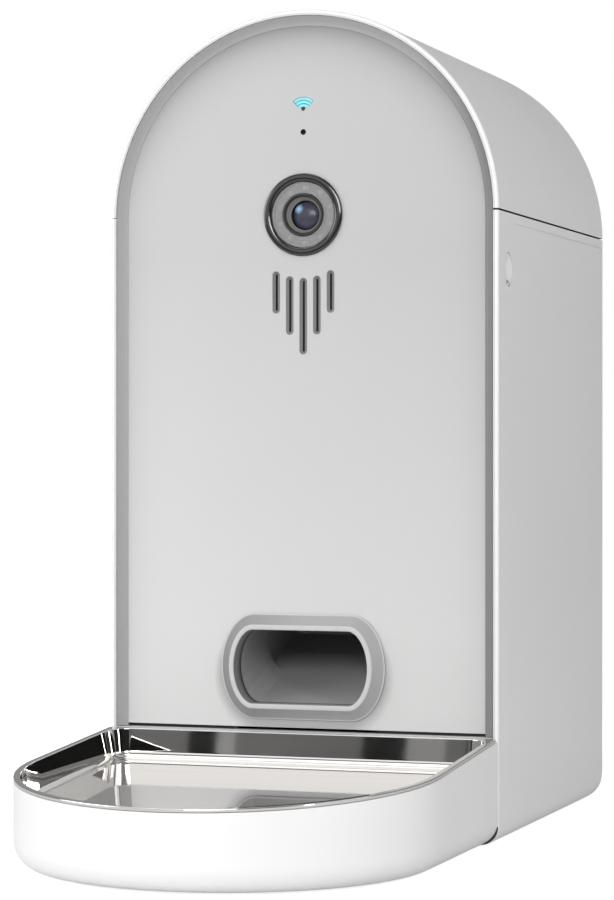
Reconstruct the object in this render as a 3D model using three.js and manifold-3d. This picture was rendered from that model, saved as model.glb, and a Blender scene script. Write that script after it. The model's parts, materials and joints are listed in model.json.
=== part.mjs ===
// A camera pet feeder: an arched body with a lid, a food hopper, a motor-driven rotor and a chute, and in front
// of it a tray with a steel bowl.
// Millimetres, +Z up. The front faces -Y and +X is on the right of someone who faces it.
// The origin is on the floor, under the middle of the whole feeder.

import * as THREE from "three";
import { mergeVertices } from "three/addons/utils/BufferGeometryUtils.js";
import Module from "manifold-3d";

const wasm = await Module();
wasm.setup();

// Driving sizes, one group for each piece or family of pieces.
const fit = { clearance: 0.3, running: 0.4, overrun: 1 };

const body = {
  width: 175, straightHeight: 266.4, depth: 193.5, standHeight: 1, seamGap: 0.8, wall: 2.5, rearWall: 4,
  floorThickness: 5, frontEdgeRadius: 2, bottomEdgeRadius: 8, rearEdgeRadius: 3, rearBottomRadius: 22,
  leastRadius: 0.4,
};

const frontFrame = {
  lipInset: 4, lipEdge: 0.4, panelDepth: 3.6, bulkhead: 2.5, faceWall: 2.5, faceTop: 46,
};

const panel = { thickness: 2, coveWidth: 4.5, bottomGap: 1.4 };

const lid = {
  wall: 2.3, rearWall: 2.5, linerThickness: 2, linerLift: 1.2, lipGap: 0.3, lipThickness: 1.2,
  lipHeight: 3, lipRoot: 5, tongueThickness: 2, tongueInset: 8.5, tongueBridge: 6, tongueBridgeLift: 4,
};

const hinge = {
  knuckleRadius: 3.2, boreRadius: 1.5, pinRadius: 1.2, offset: 45, lidLength: 14, housingLength: 7.6,
};

const button = { radius: 7, setback: 16.2, seamDrop: 24.4, thickness: 3.3, recess: 0.2, travel: 2 };
const latch = { width: 8, armHeight: 7, armDrop: 7, noseRise: 4, noseThickness: 3 };
const spring = { coilRadius: 2.2, wireRadius: 0.4, turnCount: 5, shortfall: 0.2, lift: 3.5 };

const outlet = {
  rise: 27.6, halfWidth: 30.1, halfHeight: 15.85, straightHalf: 21.5, border: 6.8, lip: 2.2, stand: 5,
  tubeWall: 1.6,
};

const camera = {
  ringRadius: 17.75, ringStand: 1.2, barrelRadius: 16, boreRadius: 14.4, barrelReach: 12,
  windowInner: 9.3, windowSetback: 0.4, windowThickness: 1, boardSetback: 4, boardThickness: 1.2,
  ledRadius: 1.3, ledHeight: 1.8, ledCircle: 11.8, ledCount: 10, hoodRadius: 9, hoodMouth: 8.2,
  hoodThroat: 6.4, lensRadius: 6.1, lensDome: 2, lensSetback: 3, moduleSize: 32, moduleThickness: 6,
};

const speaker = {
  slotWidth: 3.7, slotPitch: 6.15, outerLow: 225.1, outerHigh: 243.5, innerLow: 215.9, innerHigh: 241.3,
  middleLow: 207.4, middleHigh: 240.5, windowMargin: 2.5, meshThickness: 1, driverRadius: 18,
  driverRim: 2, driverDepth: 12, magnetRadius: 9, coneDepth: 4,
};

const microphone = { topDrop: 52, holeRadius: 1.25, capsuleRadius: 3, capsuleDepth: 4 };

const signal = {
  topDrop: 43.8, dotLift: 1.8, dotRadius: 0.76, firstRadius: 2.7, bandCount: 3, bandWidth: 1.1,
  grooveWidth: 0.35, grooveDepth: 0.5, fanHalfAngle: 0.72, baseWidth: 13, baseHeight: 11,
  baseThickness: 1.6, face: 0.2,
};

const electronics = {
  sideMargin: 25.5, lowest: 196, depth: 29, wall: 2, cornerRadius: 6, bossRadius: 2.5, bossInset: 7,
  bossHalfZ: 40, boardSideGap: 15, boardShoulderGap: 2.2, boardLowest: 214, boardTopDrop: 38.9,
  boardThickness: 1.6, boardInset: 3.7, chipHalf: 9, chipHeight: 2.4,
};

const hopper = {
  wall: 2, frontSetback: 40.5, rearGap: 1.2, rimDrop: 3, rimWidth: 2.7, rimThickness: 2,
  cornerRadius: 10, boxLowest: 192, neckHigh: 158, neckHalfWidth: 23.7, neckHalfDepth: 17.7,
  ledgeHeight: 4,
};

const seal = { width: 4 };
const desiccant = {
  radius: 24, wall: 1.6, depth: 14, capThickness: 2, slotWidth: 3, slotLength: 26, slotCount: 5,
};

const rotor = {
  setback: 62, rise: 45.4, housingRadius: 27.5, housingWall: 2, openingHalfWidth: 24,
  openingHalfDepth: 18, tipGap: 0.7, hubRadius: 7, vaneCount: 6, vaneThickness: 2.5, shaftRadius: 3,
  collarHeight: 36,
};

const gears = {
  module: 1.5, gearToothCount: 44, pinionToothCount: 14, faceWidth: 7, hubRadius: 8, hubLength: 1,
  addendumShare: 0.85, dedendumShare: 1.15, backlash: 0.5, motorShaftRadius: 2, tipShare: 0.36,
  rootShare: 0.74,
};

const gearbox = { plate: 2, rim: 3.5, wall: 1.6 };
const motor = { radius: 15, length: 54, bossRadius: 6 };

const chute = {
  slopeShare: 0.34, wall: 2, flange: 5, pitHalfDepth: 20, pitTopDrop: 14, legWidth: 8, legSpread: 24,
};

const base = {
  sideMargin: 14.3, plateThickness: 1.9, frontMargin: 14.3, rearMargin: 26.3, ledge: 6.2,
  cornerRadius: 8, screwSideMargin: 17.5, screwFront: 21, screwRear: 33, screwRadius: 1.5,
  screwHeadRadius: 3, screwHead: 1.3, screwLength: 8, bossRadius: 4, bossHeight: 7, footRadius: 8,
  footSideMargin: 29.5, footFront: 28, footRear: 42,
};

const battery = {
  cellRadius: 16.6, cellHeight: 60, capRadius: 4.5, capHeight: 1.5, cellCount: 3, boxWall: 1.6,
  lowest: 40, doorThickness: 1.5, doorMargin: 3, doorTravel: 12, ribCount: 3, ribPitch: 3, ribWidth: 1.2,
};

const power = {
  inletSideMargin: 25.5, height: 33, inletRadius: 5.5, socketRadius: 2.85, pinRadius: 1, inletDepth: 9,
  socketDepth: 7, buttonRadius: 3.5, buttonStand: 0.4, buttonTravel: 1.2, buttonLength: 5,
  boardSideMargin: 15.5, boardHeight: 11, boardThickness: 1.6, switchSize: 6, switchHeight: 2.6,
};

const tray = {
  reach: 171.5, sideInset: 0.3, wall: 1.6, floor: 2.5, bottomRadius: 10.5, rimHeight: 46.2,
  rimSlopeShare: 0.0753, tongueX: 45, tongueHalfWidth: 10, tongueLow: 12, tongueHigh: 18,
  tongueReach: 12, footRadius: 6, footX: 42, footReach: 120, footPocket: 0.8,
};

const bowl = {
  steel: 0.9, flange: 2.8, flangeDrop: 1.3, rimRound: 0.45, rearCorner: 9, rimCorner: 2, rearGap: 1.8,
  wallDrop: 9, floorDrop: 12.5, filletInset: 4, floorSlopeShare: 0.0877,
};

const arcSteps = {
  archCount: 32, trayCount: 32, cornerCount: 4, edgeCount: 5, bodyEdgeCount: 3, rearCount: 6,
  discCount: 20, smallCount: 16, tinyCount: 12, outletEndCount: 8, springTurnCount: 8, wireCount: 5,
};

// Places that follow from the driving sizes.
const overallLength = tray.reach + body.depth + hinge.knuckleRadius;
const frontY = tray.reach - overallLength / 2;
const rearY = frontY + body.depth;
const bodyRadius = body.width / 2;
const seamZ = body.standHeight + body.straightHeight;
const topZ = seamZ + bodyRadius;
const panelFrontY = frontY + frontFrame.panelDepth;
const panelBackY = panelFrontY + panel.thickness;
const bulkheadFrontY = panelBackY + fit.clearance;
const bulkheadBackY = bulkheadFrontY + frontFrame.bulkhead;
const innerRearY = rearY - body.rearWall;
const lidInnerRadius = bodyRadius - lid.wall;
const frameRadius = lidInnerRadius - fit.running;
const panelInset = frontFrame.lipInset + panel.coveWidth;
const microphoneZ = topZ - microphone.topDrop;
const signalZ = topZ - signal.topDrop;
const electronicsHalfWidth = bodyRadius - electronics.sideMargin;
const boardHalfWidth = electronicsHalfWidth - electronics.wall - electronics.boardSideGap;
const bossX = boardHalfWidth - electronics.bossInset;
const boardHighZ = topZ - electronics.boardTopDrop;
const plateHalfWidth = bodyRadius - base.sideMargin;
const screwX = bodyRadius - base.screwSideMargin;
const bodyFootX = bodyRadius - base.footSideMargin;
const inletX = bodyRadius - power.inletSideMargin;
const powerBoardHalfWidth = bodyRadius - power.boardSideMargin;
const trayHalfWidth = bodyRadius - tray.sideInset;
const rotorY = frontY + rotor.setback;
const outletZ = frontFrame.faceTop + outlet.rise;
const rotorZ = outletZ + rotor.rise;
const rotorHalfLength = outlet.halfWidth + chute.wall + fit.running;
const motorY = rotorY + (gears.module * (gears.gearToothCount + gears.pinionToothCount)) / 2;
const plateLowZ = body.standHeight + fit.clearance;
const plateHighZ = plateLowZ + base.plateThickness;
const recessTopZ = plateHighZ + fit.clearance;
const floorTopZ = body.standHeight + body.floorThickness;
const linerLowZ = seamZ + lid.linerLift;
const hopperRimZ = seamZ - hopper.rimDrop;
const hopperFrontY = frontY + hopper.frontSetback;
const hopperRearY = innerRearY - hopper.rearGap;
const middleY = (hopperFrontY + hopperRearY) / 2;
const buttonY = frontY + button.setback;
const buttonZ = seamZ - button.seamDrop;
const armTopZ = buttonZ - latch.armDrop;
const noseTopZ = buttonZ + latch.noseRise;
const tongueOuterX = bodyRadius - lid.tongueInset;
const tongueInnerX = tongueOuterX - lid.tongueThickness;
const sliderNoseX = tongueInnerX - fit.running;
const sliderOuterX = bodyRadius - button.recess - button.thickness - fit.clearance;
const tongueLowZ = armTopZ + fit.clearance + fit.running;
const boardMiddleZ = (electronics.boardLowest + boardHighZ) / 2;

// Outlines, as lists of points.
function arc(centreX, centreY, radiusX, from, to, steps, radiusY = radiusX) {
  const points = [];
  for (let i = 0; i <= steps; i++) {
    const angle = from + ((to - from) * i) / steps;
    points.push(new THREE.Vector2(centreX + radiusX * Math.cos(angle), centreY + radiusY * Math.sin(angle)));
  }
  return points;
}

function archOutline(inset) {
  const half = bodyRadius - inset;
  const low = body.standHeight + inset;
  const corner = Math.max(body.bottomEdgeRadius - inset, body.leastRadius);
  return [
    ...arc(half - corner, low + corner, corner, -Math.PI / 2, 0, arcSteps.cornerCount),
    ...arc(0, seamZ, half, 0, Math.PI, arcSteps.archCount),
    ...arc(corner - half, low + corner, corner, Math.PI, (3 * Math.PI) / 2, arcSteps.cornerCount),
  ];
}

function openArchOutline(radius, low) {
  return [
    new THREE.Vector2(radius, low),
    ...arc(0, seamZ, radius, 0, Math.PI, arcSteps.archCount),
    new THREE.Vector2(-radius, low),
  ];
}

function roundedRectangle(x0, x1, y0, y1, radius, steps = arcSteps.cornerCount) {
  return [
    ...arc(x1 - radius, y0 + radius, radius, -Math.PI / 2, 0, steps),
    ...arc(x1 - radius, y1 - radius, radius, 0, Math.PI / 2, steps),
    ...arc(x0 + radius, y1 - radius, radius, Math.PI / 2, Math.PI, steps),
    ...arc(x0 + radius, y0 + radius, radius, Math.PI, (3 * Math.PI) / 2, steps),
  ];
}

function outletOutline(grow) {
  const endRadius = outlet.halfWidth - outlet.straightHalf + grow;
  const halfHeight = outlet.halfHeight + grow;
  const quarter = Math.PI / 2;
  const end = (x, from) => (
    arc(x, outletZ, endRadius, from, from + Math.PI, arcSteps.outletEndCount, halfHeight)
  );
  return [...end(outlet.straightHalf, -quarter), ...end(-outlet.straightHalf, quarter)];
}

function slotOutline(x, low, high, width) {
  const radius = width / 2;
  return [
    ...arc(x, low + radius, radius, Math.PI, 2 * Math.PI, arcSteps.tinyCount / 2),
    ...arc(x, high - radius, radius, 0, Math.PI, arcSteps.tinyCount / 2),
  ];
}

function fanBand(inner, outer, spread = 0) {
  const from = Math.PI / 2 - signal.fanHalfAngle - spread;
  const to = Math.PI / 2 + signal.fanHalfAngle + spread;
  return [
    ...arc(0, signalZ, outer, from, to, arcSteps.cornerCount),
    ...arc(0, signalZ, inner, to, from, arcSteps.cornerCount),
  ];
}

function twoCircleOutline(y0, z0, radius0, y1, radius1) {
  const lean = Math.acos((radius0 - radius1) / (y1 - y0));
  return [
    ...arc(y0, z0, radius0, lean, 2 * Math.PI - lean, arcSteps.smallCount),
    ...arc(y1, z0, radius1, -lean, lean, arcSteps.tinyCount),
  ];
}

// The tray and bowl outline seen from above: a straight rear, straight sides and a half circle in front.
function trayOutline(inset, rearLine, rearCorner) {
  const half = trayHalfWidth - inset;
  const centreY = frontY - tray.reach + trayHalfWidth;
  return [
    ...arc(half - rearCorner, rearLine - rearCorner, rearCorner, 0, Math.PI / 2, arcSteps.cornerCount),
    ...arc(rearCorner - half, rearLine - rearCorner, rearCorner, Math.PI / 2, Math.PI, arcSteps.cornerCount),
    ...arc(0, centreY, half, Math.PI, 2 * Math.PI, arcSteps.trayCount),
  ];
}

// Closed surfaces from outlines.
function closedGeometry(vertices, triangles) {
  const geometry = new THREE.BufferGeometry();
  geometry.setAttribute("position", new THREE.BufferAttribute(new Float32Array(vertices), 3));
  geometry.setIndex(triangles);
  return geometry;
}

// Joins a row of outlines with equal point counts. Each section places its outline's points in space.
function loft(sections) {
  const count = sections[0].outline.length;
  const vertices = [];
  const triangles = [];
  for (const section of sections) {
    for (const point of section.outline) vertices.push(...section.place(point).toArray());
  }
  for (let s = 0; s + 1 < sections.length; s++) {
    for (let i = 0; i < count; i++) {
      const here = s * count + i;
      const next = s * count + ((i + 1) % count);
      triangles.push(here, next, here + count, next, next + count, here + count);
    }
  }
  const last = sections.length - 1;
  for (const [a, b, c] of THREE.ShapeUtils.triangulateShape(sections[0].outline, [])) triangles.push(c, b, a);
  for (const [a, b, c] of THREE.ShapeUtils.triangulateShape(sections[last].outline, [])) {
    triangles.push(last * count + a, last * count + b, last * count + c);
  }
  return closedGeometry(vertices, triangles);
}

function atDepth(outline, y) {
  return { outline, place: (point) => new THREE.Vector3(point.x, y, point.y) };
}

function atHeight(outline, z) {
  return { outline, place: (point) => new THREE.Vector3(point.x, point.y, z) };
}

function underRim(outline, drop) {
  return { outline, place: (point) => new THREE.Vector3(point.x, point.y, rimHeightAt(point.y) - drop) };
}

function rimHeightAt(y) {
  return tray.rimHeight + tray.rimSlopeShare * (y - frontY);
}

// Solids: a closed geometry made ready for cutting and joining, always facing out.
function solidOf(geometry) {
  const bare = geometry.clone();
  bare.deleteAttribute("normal");
  bare.deleteAttribute("uv");
  const merged = mergeVertices(bare);
  const position = merged.attributes.position.array;
  const triangles = [];
  let volume = 0;
  for (let i = 0; i < merged.index.count; i += 3) {
    const [a, b, c] = [0, 1, 2].map((k) => merged.index.getX(i + k));
    if (a === b || b === c || c === a) continue;
    triangles.push(a, b, c);
    const [p, q, r] = [a, b, c].map((k) => new THREE.Vector3().fromArray(position, 3 * k));
    volume += p.dot(q.cross(r));
  }
  if (volume < 0) triangles.reverse();
  const mesh = new wasm.Mesh({
    numProp: 3,
    vertProperties: new Float32Array(position),
    triVerts: new Uint32Array(triangles),
  });
  return new wasm.Manifold(mesh);
}

function block([x0, x1], [y0, y1], [z0, z1]) {
  const geometry = new THREE.BoxGeometry(x1 - x0, y1 - y0, z1 - z0);
  return solidOf(geometry.translate((x0 + x1) / 2, (y0 + y1) / 2, (z0 + z1) / 2));
}

// The span from a to b on one side of the middle: side is 1 on the right and -1 on the left.
function across(side, a, b) {
  return [Math.min(side * a, side * b), Math.max(side * a, side * b)];
}

function extrusion(outline, length) {
  return new THREE.ExtrudeGeometry(new THREE.Shape(outline), { depth: length, bevelEnabled: false });
}

// An outline in X and Z, run along Y.
function prismY(outline, y0, y1) {
  return solidOf(extrusion(outline, y1 - y0).rotateX(Math.PI / 2).translate(0, y1, 0));
}

// An outline in Y and Z, run along X.
function prismX(outline, x0, x1) {
  const turn = new THREE.Matrix4().makeBasis(
    new THREE.Vector3(0, 1, 0),
    new THREE.Vector3(0, 0, 1),
    new THREE.Vector3(1, 0, 0),
  );
  return solidOf(extrusion(outline, x1 - x0).applyMatrix4(turn).translate(x0, 0, 0));
}

// An outline in X and Y, run along Z.
function prismZ(outline, z0, z1) {
  return solidOf(extrusion(outline, z1 - z0).translate(0, 0, z0));
}

function rodX(radius, x0, x1, y, z, sides = arcSteps.smallCount) {
  const geometry = new THREE.CylinderGeometry(radius, radius, x1 - x0, sides);
  return solidOf(geometry.rotateZ(Math.PI / 2).translate((x0 + x1) / 2, y, z));
}

function rodY(radius, y0, y1, x, z, sides = arcSteps.smallCount) {
  const geometry = new THREE.CylinderGeometry(radius, radius, y1 - y0, sides);
  return solidOf(geometry.translate(x, (y0 + y1) / 2, z));
}

function rodZ(radius, z0, z1, x, y, sides = arcSteps.smallCount) {
  const geometry = new THREE.CylinderGeometry(radius, radius, z1 - z0, sides);
  return solidOf(geometry.rotateX(Math.PI / 2).translate(x, y, (z0 + z1) / 2));
}

// A profile of [radius, distance] points turned about an axis along Y or Z.
function turnedY(profile, x, z, sides = arcSteps.smallCount) {
  const points = profile.map(([radius, along]) => new THREE.Vector2(radius, along));
  return solidOf(new THREE.LatheGeometry(points, sides).translate(x, 0, z));
}

function turnedZ(profile, x, y, sides = arcSteps.smallCount) {
  const points = profile.map(([radius, along]) => new THREE.Vector2(radius, along));
  return solidOf(new THREE.LatheGeometry(points, sides).rotateX(Math.PI / 2).translate(x, y, 0));
}

function joined(pieces) {
  return pieces.reduce((whole, piece) => whole.add(piece));
}

function meshOf(name, solid, material) {
  const cut = solid.getMesh();
  const geometry = new THREE.BufferGeometry();
  const count = cut.vertProperties.length / cut.numProp;
  const positions = new Float32Array(3 * count);
  for (let i = 0; i < count; i++) {
    for (let k = 0; k < 3; k++) positions[3 * i + k] = cut.vertProperties[cut.numProp * i + k];
  }
  geometry.setAttribute("position", new THREE.BufferAttribute(positions, 3));
  geometry.setIndex(new THREE.BufferAttribute(new Uint32Array(cut.triVerts), 1));
  geometry.computeVertexNormals();
  const mesh = new THREE.Mesh(geometry, material());
  mesh.name = name;
  return mesh;
}

// Materials.
const material = {
  whitePlastic: () => new THREE.MeshStandardMaterial({ color: 0xf4f4f4, roughness: 0.35, metalness: 0 }),
  satinPanel: () => new THREE.MeshStandardMaterial({ color: 0xcfd0d0, roughness: 0.5, metalness: 0.1 }),
  greyPlastic: () => new THREE.MeshStandardMaterial({ color: 0x9b9c9c, roughness: 0.5, metalness: 0 }),
  darkPlastic: () => new THREE.MeshStandardMaterial({ color: 0x2b2c2e, roughness: 0.5, metalness: 0 }),
  blackGloss: () => new THREE.MeshStandardMaterial({ color: 0x141416, roughness: 0.12, metalness: 0 }),
  clearTank: () => new THREE.MeshStandardMaterial({ color: 0xd7dbdc, roughness: 0.3, metalness: 0 }),
  steel: () => new THREE.MeshStandardMaterial({ color: 0xc9cacc, roughness: 0.08, metalness: 1 }),
  rubber: () => new THREE.MeshStandardMaterial({ color: 0x3a3a3c, roughness: 0.9, metalness: 0 }),
  sealRubber: () => new THREE.MeshStandardMaterial({ color: 0xb9bcbe, roughness: 0.7, metalness: 0 }),
  board: () => new THREE.MeshStandardMaterial({ color: 0x1f5b3a, roughness: 0.45, metalness: 0 }),
  acetal: () => new THREE.MeshStandardMaterial({ color: 0xe9e6da, roughness: 0.45, metalness: 0 }),
  lensGlass: () => new THREE.MeshStandardMaterial({ color: 0x2a2f66, roughness: 0.03, metalness: 0 }),
  smokedGlass: () => new THREE.MeshStandardMaterial({ color: 0x7f7f7f, roughness: 0.1, metalness: 0 }),
  lightGuide: () => new THREE.MeshStandardMaterial({ color: 0x7fe6ee, roughness: 0.3, metalness: 0 }),
  cellJacket: () => new THREE.MeshStandardMaterial({ color: 0x3d4a55, roughness: 0.35, metalness: 0.3 }),
};

// The outside of the body: the arch run from front to rear, with its rear bottom corner rounded.
function bodySide() {
  const low = body.standHeight;
  const radius = body.rearBottomRadius;
  const high = topZ + fit.overrun;
  return [
    new THREE.Vector2(frontY - fit.overrun, low),
    ...arc(rearY - radius, low + radius, radius, -Math.PI / 2, 0, arcSteps.rearCount),
    new THREE.Vector2(rearY, high),
    new THREE.Vector2(frontY - fit.overrun, high),
  ];
}

function bodyOutside() {
  const sections = [];
  const quarter = Math.PI / 2;
  for (let i = 0; i <= arcSteps.bodyEdgeCount; i++) {
    const angle = (quarter * i) / (arcSteps.bodyEdgeCount);
    const inset = body.frontEdgeRadius * (1 - Math.sin(angle));
    sections.push(atDepth(archOutline(inset), frontY + body.frontEdgeRadius * (1 - Math.cos(angle))));
  }
  for (let i = 0; i <= arcSteps.bodyEdgeCount; i++) {
    const angle = (quarter * i) / (arcSteps.bodyEdgeCount);
    const inset = body.rearEdgeRadius * (1 - Math.cos(angle));
    sections.push(atDepth(archOutline(inset), rearY - body.rearEdgeRadius * (1 - Math.sin(angle))));
  }
  const wide = bodyRadius + fit.overrun;
  return solidOf(loft(sections)).intersect(prismX(bodySide(), -wide, wide));
}

const acrossAll = [-body.width, body.width];
const alongAll = [-overallLength, overallLength];
const shell = bodyOutside();
const lowerHalf = block(acrossAll, alongAll, [-topZ, seamZ - body.seamGap / 2]);
const upperHalf = block(acrossAll, alongAll, [seamZ + body.seamGap / 2, topZ + body.width]);

// Hinge knuckles on the rear edge of the seam, the lid's between the housing's, or the room that they turn in.
function knuckles(part, room) {
  const lidHalf = hinge.lidLength / 2;
  const near = lidHalf + fit.running;
  const far = near + hinge.housingLength;
  const spans = part === "lid" ? [[-lidHalf, lidHalf]] : [[-far, -near], [near, far]];
  const rods = [];
  for (const side of [-1, 1]) {
    const centre = side * hinge.offset;
    for (const [x0, x1] of spans) {
      rods.push(rodX(hinge.knuckleRadius + room, centre + x0 - room, centre + x1 + room, rearY, seamZ));
    }
  }
  return joined(rods);
}

function hingeBores() {
  const reach = hinge.lidLength + hinge.housingLength;
  return joined([-1, 1].map((side) => {
    const centre = side * hinge.offset;
    return rodX(hinge.boreRadius, centre - reach, centre + reach, rearY, seamZ, arcSteps.tinyCount);
  }));
}

// Main housing: side walls, rear wall, floor ledge, arched front frame and bulkhead, moulded as one.
function bodyCavity() {
  const low = floorTopZ;
  const radius = body.rearBottomRadius - body.rearWall;
  const side = [
    new THREE.Vector2(bulkheadBackY, low),
    ...arc(innerRearY - radius, low + radius, radius, -Math.PI / 2, 0, arcSteps.cornerCount),
    new THREE.Vector2(innerRearY, topZ),
    new THREE.Vector2(bulkheadBackY, topZ),
  ];
  const half = bodyRadius - body.wall;
  return prismX(side, -half, half);
}

function housingLip() {
  const outer = lidInnerRadius - lid.lipGap - fit.clearance;
  const inner = outer - lid.lipThickness;
  const wallFace = bodyRadius - body.wall + fit.clearance;
  const rootHigh = seamZ - body.seamGap;
  const high = seamZ + lid.lipHeight;
  const low = seamZ - lid.lipRoot;
  const front = bulkheadBackY - fit.clearance;
  const pieces = [];
  for (const side of [-1, 1]) {
    pieces.push(block(across(side, inner, outer), [front, innerRearY], [low, high]));
    pieces.push(block(across(side, inner, wallFace), [front, innerRearY], [low, rootHigh]));
  }
  const rearOuter = rearY - lid.rearWall - lid.lipGap;
  const rearInner = rearOuter - lid.lipThickness;
  pieces.push(block([-outer, outer], [rearInner, rearOuter], [low, high]));
  return joined(pieces);
}

function hopperLedges() {
  const high = hopperRimZ - hopper.rimThickness - fit.clearance;
  const low = high - hopper.ledgeHeight;
  const outer = bodyRadius - body.wall + fit.clearance;
  const inner = hopperHalfWidth() + fit.clearance;
  return joined([-1, 1].map((side) => block(
    across(side, inner, outer),
    [hopperFrontY + hopper.cornerRadius, hopperRearY - hopper.cornerRadius],
    [low, high],
  )));
}

function screwPlaces() {
  const places = [];
  for (const x of [-screwX, screwX]) {
    for (const y of [frontY + base.screwFront, rearY - base.screwRear]) places.push([x, y]);
  }
  return places;
}

function plateOutline(grow) {
  const half = plateHalfWidth + grow;
  return roundedRectangle(
    -half, half, frontY + base.frontMargin - grow, rearY - base.rearMargin + grow, base.cornerRadius + grow,
  );
}

function mainHousing() {
  const frameBack = bulkheadBackY;
  const frame = solidOf(loft([
    atDepth(openArchOutline(frameRadius - frontFrame.lipEdge, seamZ - body.wall), frontY),
    atDepth(openArchOutline(frameRadius, seamZ - body.wall), frontY + frontFrame.lipEdge),
    atDepth(openArchOutline(frameRadius, seamZ - body.wall), frameBack),
  ]));
  let housing = shell.intersect(lowerHalf).subtract(bodyCavity());
  housing = housing.add(frame).add(housingLip()).add(hopperLedges());
  // The recess that holds the panel and its surround, and the room behind the flat face under it.
  const recess = prismY(archOutline(frontFrame.lipInset), frontY - fit.overrun, bulkheadFrontY)
    .intersect(block(acrossAll, alongAll, [frontFrame.faceTop, topZ]));
  const half = bodyRadius - body.wall;
  const faceRoom = block(
    [-half, half],
    [frontY + frontFrame.faceWall, bulkheadBackY + fit.overrun],
    [floorTopZ, frontFrame.faceTop - frontFrame.faceWall],
  );
  housing = housing.subtract(recess).subtract(faceRoom);
  // Bulkhead openings for the outlet, camera, speaker, microphone and signal light. The outlet's is open below.
  const through = [bulkheadFrontY - fit.overrun, bulkheadBackY + fit.overrun];
  const tubeHalf = outlet.halfWidth + outlet.tubeWall + fit.clearance;
  const cuts = [
    prismY(outletOutline(outlet.tubeWall + fit.clearance), ...through),
    block([-tubeHalf, tubeHalf], through, [frontFrame.faceTop, outletZ]),
    rodY(camera.barrelRadius + fit.clearance, ...through, 0, seamZ, arcSteps.archCount),
    prismY(speakerWindow(0), ...through),
    rodY(microphone.capsuleRadius + fit.clearance, ...through, 0, microphoneZ, arcSteps.tinyCount),
    signalWindow(fit.clearance, ...through),
  ];
  // Slots for the tray's tongues, and holes for the release buttons.
  for (const side of [-1, 1]) {
    const slotX = side * tray.tongueX;
    const slotHalf = tray.tongueHalfWidth + fit.running;
    cuts.push(block(
      [slotX - slotHalf, slotX + slotHalf],
      [frontY - fit.overrun, frontY + frontFrame.faceWall + fit.overrun],
      [tray.tongueLow - fit.running, tray.tongueHigh + fit.running],
    ));
    const wallSpan = across(side, bodyRadius - body.wall - fit.overrun, bodyRadius + fit.overrun);
    cuts.push(rodX(button.radius + fit.clearance, ...wallSpan, buttonY, buttonZ, arcSteps.discCount));
  }
  // The floor: a recess for the base plate, and the opening over it.
  cuts.push(prismZ(plateOutline(fit.clearance), body.standHeight - fit.overrun, recessTopZ));
  cuts.push(prismZ(plateOutline(-base.ledge), recessTopZ - fit.overrun, floorTopZ + fit.overrun));
  for (const cut of cuts) housing = housing.subtract(cut);
  for (const [x, y] of screwPlaces()) {
    const postTop = floorTopZ + base.bossHeight;
    const holeRadius = base.screwRadius + fit.clearance;
    const hole = rodZ(holeRadius, recessTopZ - fit.overrun, postTop + fit.overrun, x, y, arcSteps.tinyCount);
    housing = housing.add(rodZ(base.bossRadius, recessTopZ, postTop, x, y, arcSteps.tinyCount)).subtract(hole);
  }
  // The rear wall: the battery door's recess and opening, the power inlet and the reset button.
  const door = doorSize();
  const wallThrough = [innerRearY - fit.overrun, rearY + fit.overrun];
  const doorRecess = block(
    [-door.half - fit.clearance, door.half + fit.clearance],
    [rearY - battery.doorThickness - fit.clearance, rearY + fit.overrun],
    [door.low - fit.clearance, door.high + battery.doorTravel + fit.clearance],
  );
  const doorway = block(
    [-door.half + battery.doorMargin, door.half - battery.doorMargin],
    wallThrough,
    [door.low + battery.doorMargin, door.high - battery.doorMargin],
  );
  housing = housing
    .subtract(doorRecess)
    .subtract(doorway)
    .subtract(rodY(power.inletRadius + fit.clearance, ...wallThrough, inletX, power.height))
    .subtract(rodY(power.buttonRadius + fit.clearance, ...wallThrough, -inletX, power.height));
  return housing.subtract(knuckles("lid", fit.running)).add(knuckles("housing", 0)).subtract(hingeBores());
}

// Front panel, its coved surround and the outlet ring.
function panelSurround() {
  const outer = frontFrame.lipInset + fit.clearance / 2;
  const inner = panelInset - fit.clearance / 2;
  const ring = solidOf(loft([
    atDepth(archOutline(outer), frontY + fit.clearance),
    atDepth(archOutline(outer), panelBackY),
  ]));
  const hollow = solidOf(loft([
    atDepth(archOutline(outer + fit.clearance), frontY + fit.clearance - fit.overrun),
    atDepth(archOutline(outer + fit.clearance), frontY + fit.clearance),
    atDepth(archOutline(inner), panelFrontY),
    atDepth(archOutline(inner), panelBackY + fit.overrun),
  ]));
  const above = block(acrossAll, alongAll, [frontFrame.faceTop + fit.clearance, topZ]);
  return ring.subtract(hollow).intersect(above);
}

function speakerSlots() {
  const { slotPitch } = speaker;
  return [
    [-2 * slotPitch, speaker.outerLow, speaker.outerHigh],
    [-slotPitch, speaker.innerLow, speaker.innerHigh],
    [0, speaker.middleLow, speaker.middleHigh],
    [slotPitch, speaker.innerLow, speaker.innerHigh],
    [2 * slotPitch, speaker.outerLow, speaker.outerHigh],
  ];
}

function speakerWindow(shrink) {
  const half = 2 * speaker.slotPitch + speaker.slotWidth / 2 + speaker.windowMargin - shrink;
  return roundedRectangle(
    -half, half,
    speaker.middleLow - speaker.windowMargin + shrink, speaker.outerHigh + speaker.windowMargin - shrink,
    speaker.windowMargin,
  );
}

function signalOuterRadius() {
  const grooves = (signal.bandCount - 1) * signal.grooveWidth;
  return signal.firstRadius + signal.bandCount * signal.bandWidth + grooves;
}

function signalOpening() {
  const gap = fit.clearance / 2;
  return fanBand(signal.firstRadius - gap, signalOuterRadius() + gap, gap / signal.firstRadius);
}

function signalWindow(grow, y0, y1) {
  const middle = signalZ + signal.firstRadius;
  return block(
    [-signal.baseWidth / 2 - grow, signal.baseWidth / 2 + grow],
    [y0, y1],
    [middle - signal.baseHeight / 2 - grow, middle + signal.baseHeight / 2 + grow],
  );
}

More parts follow.
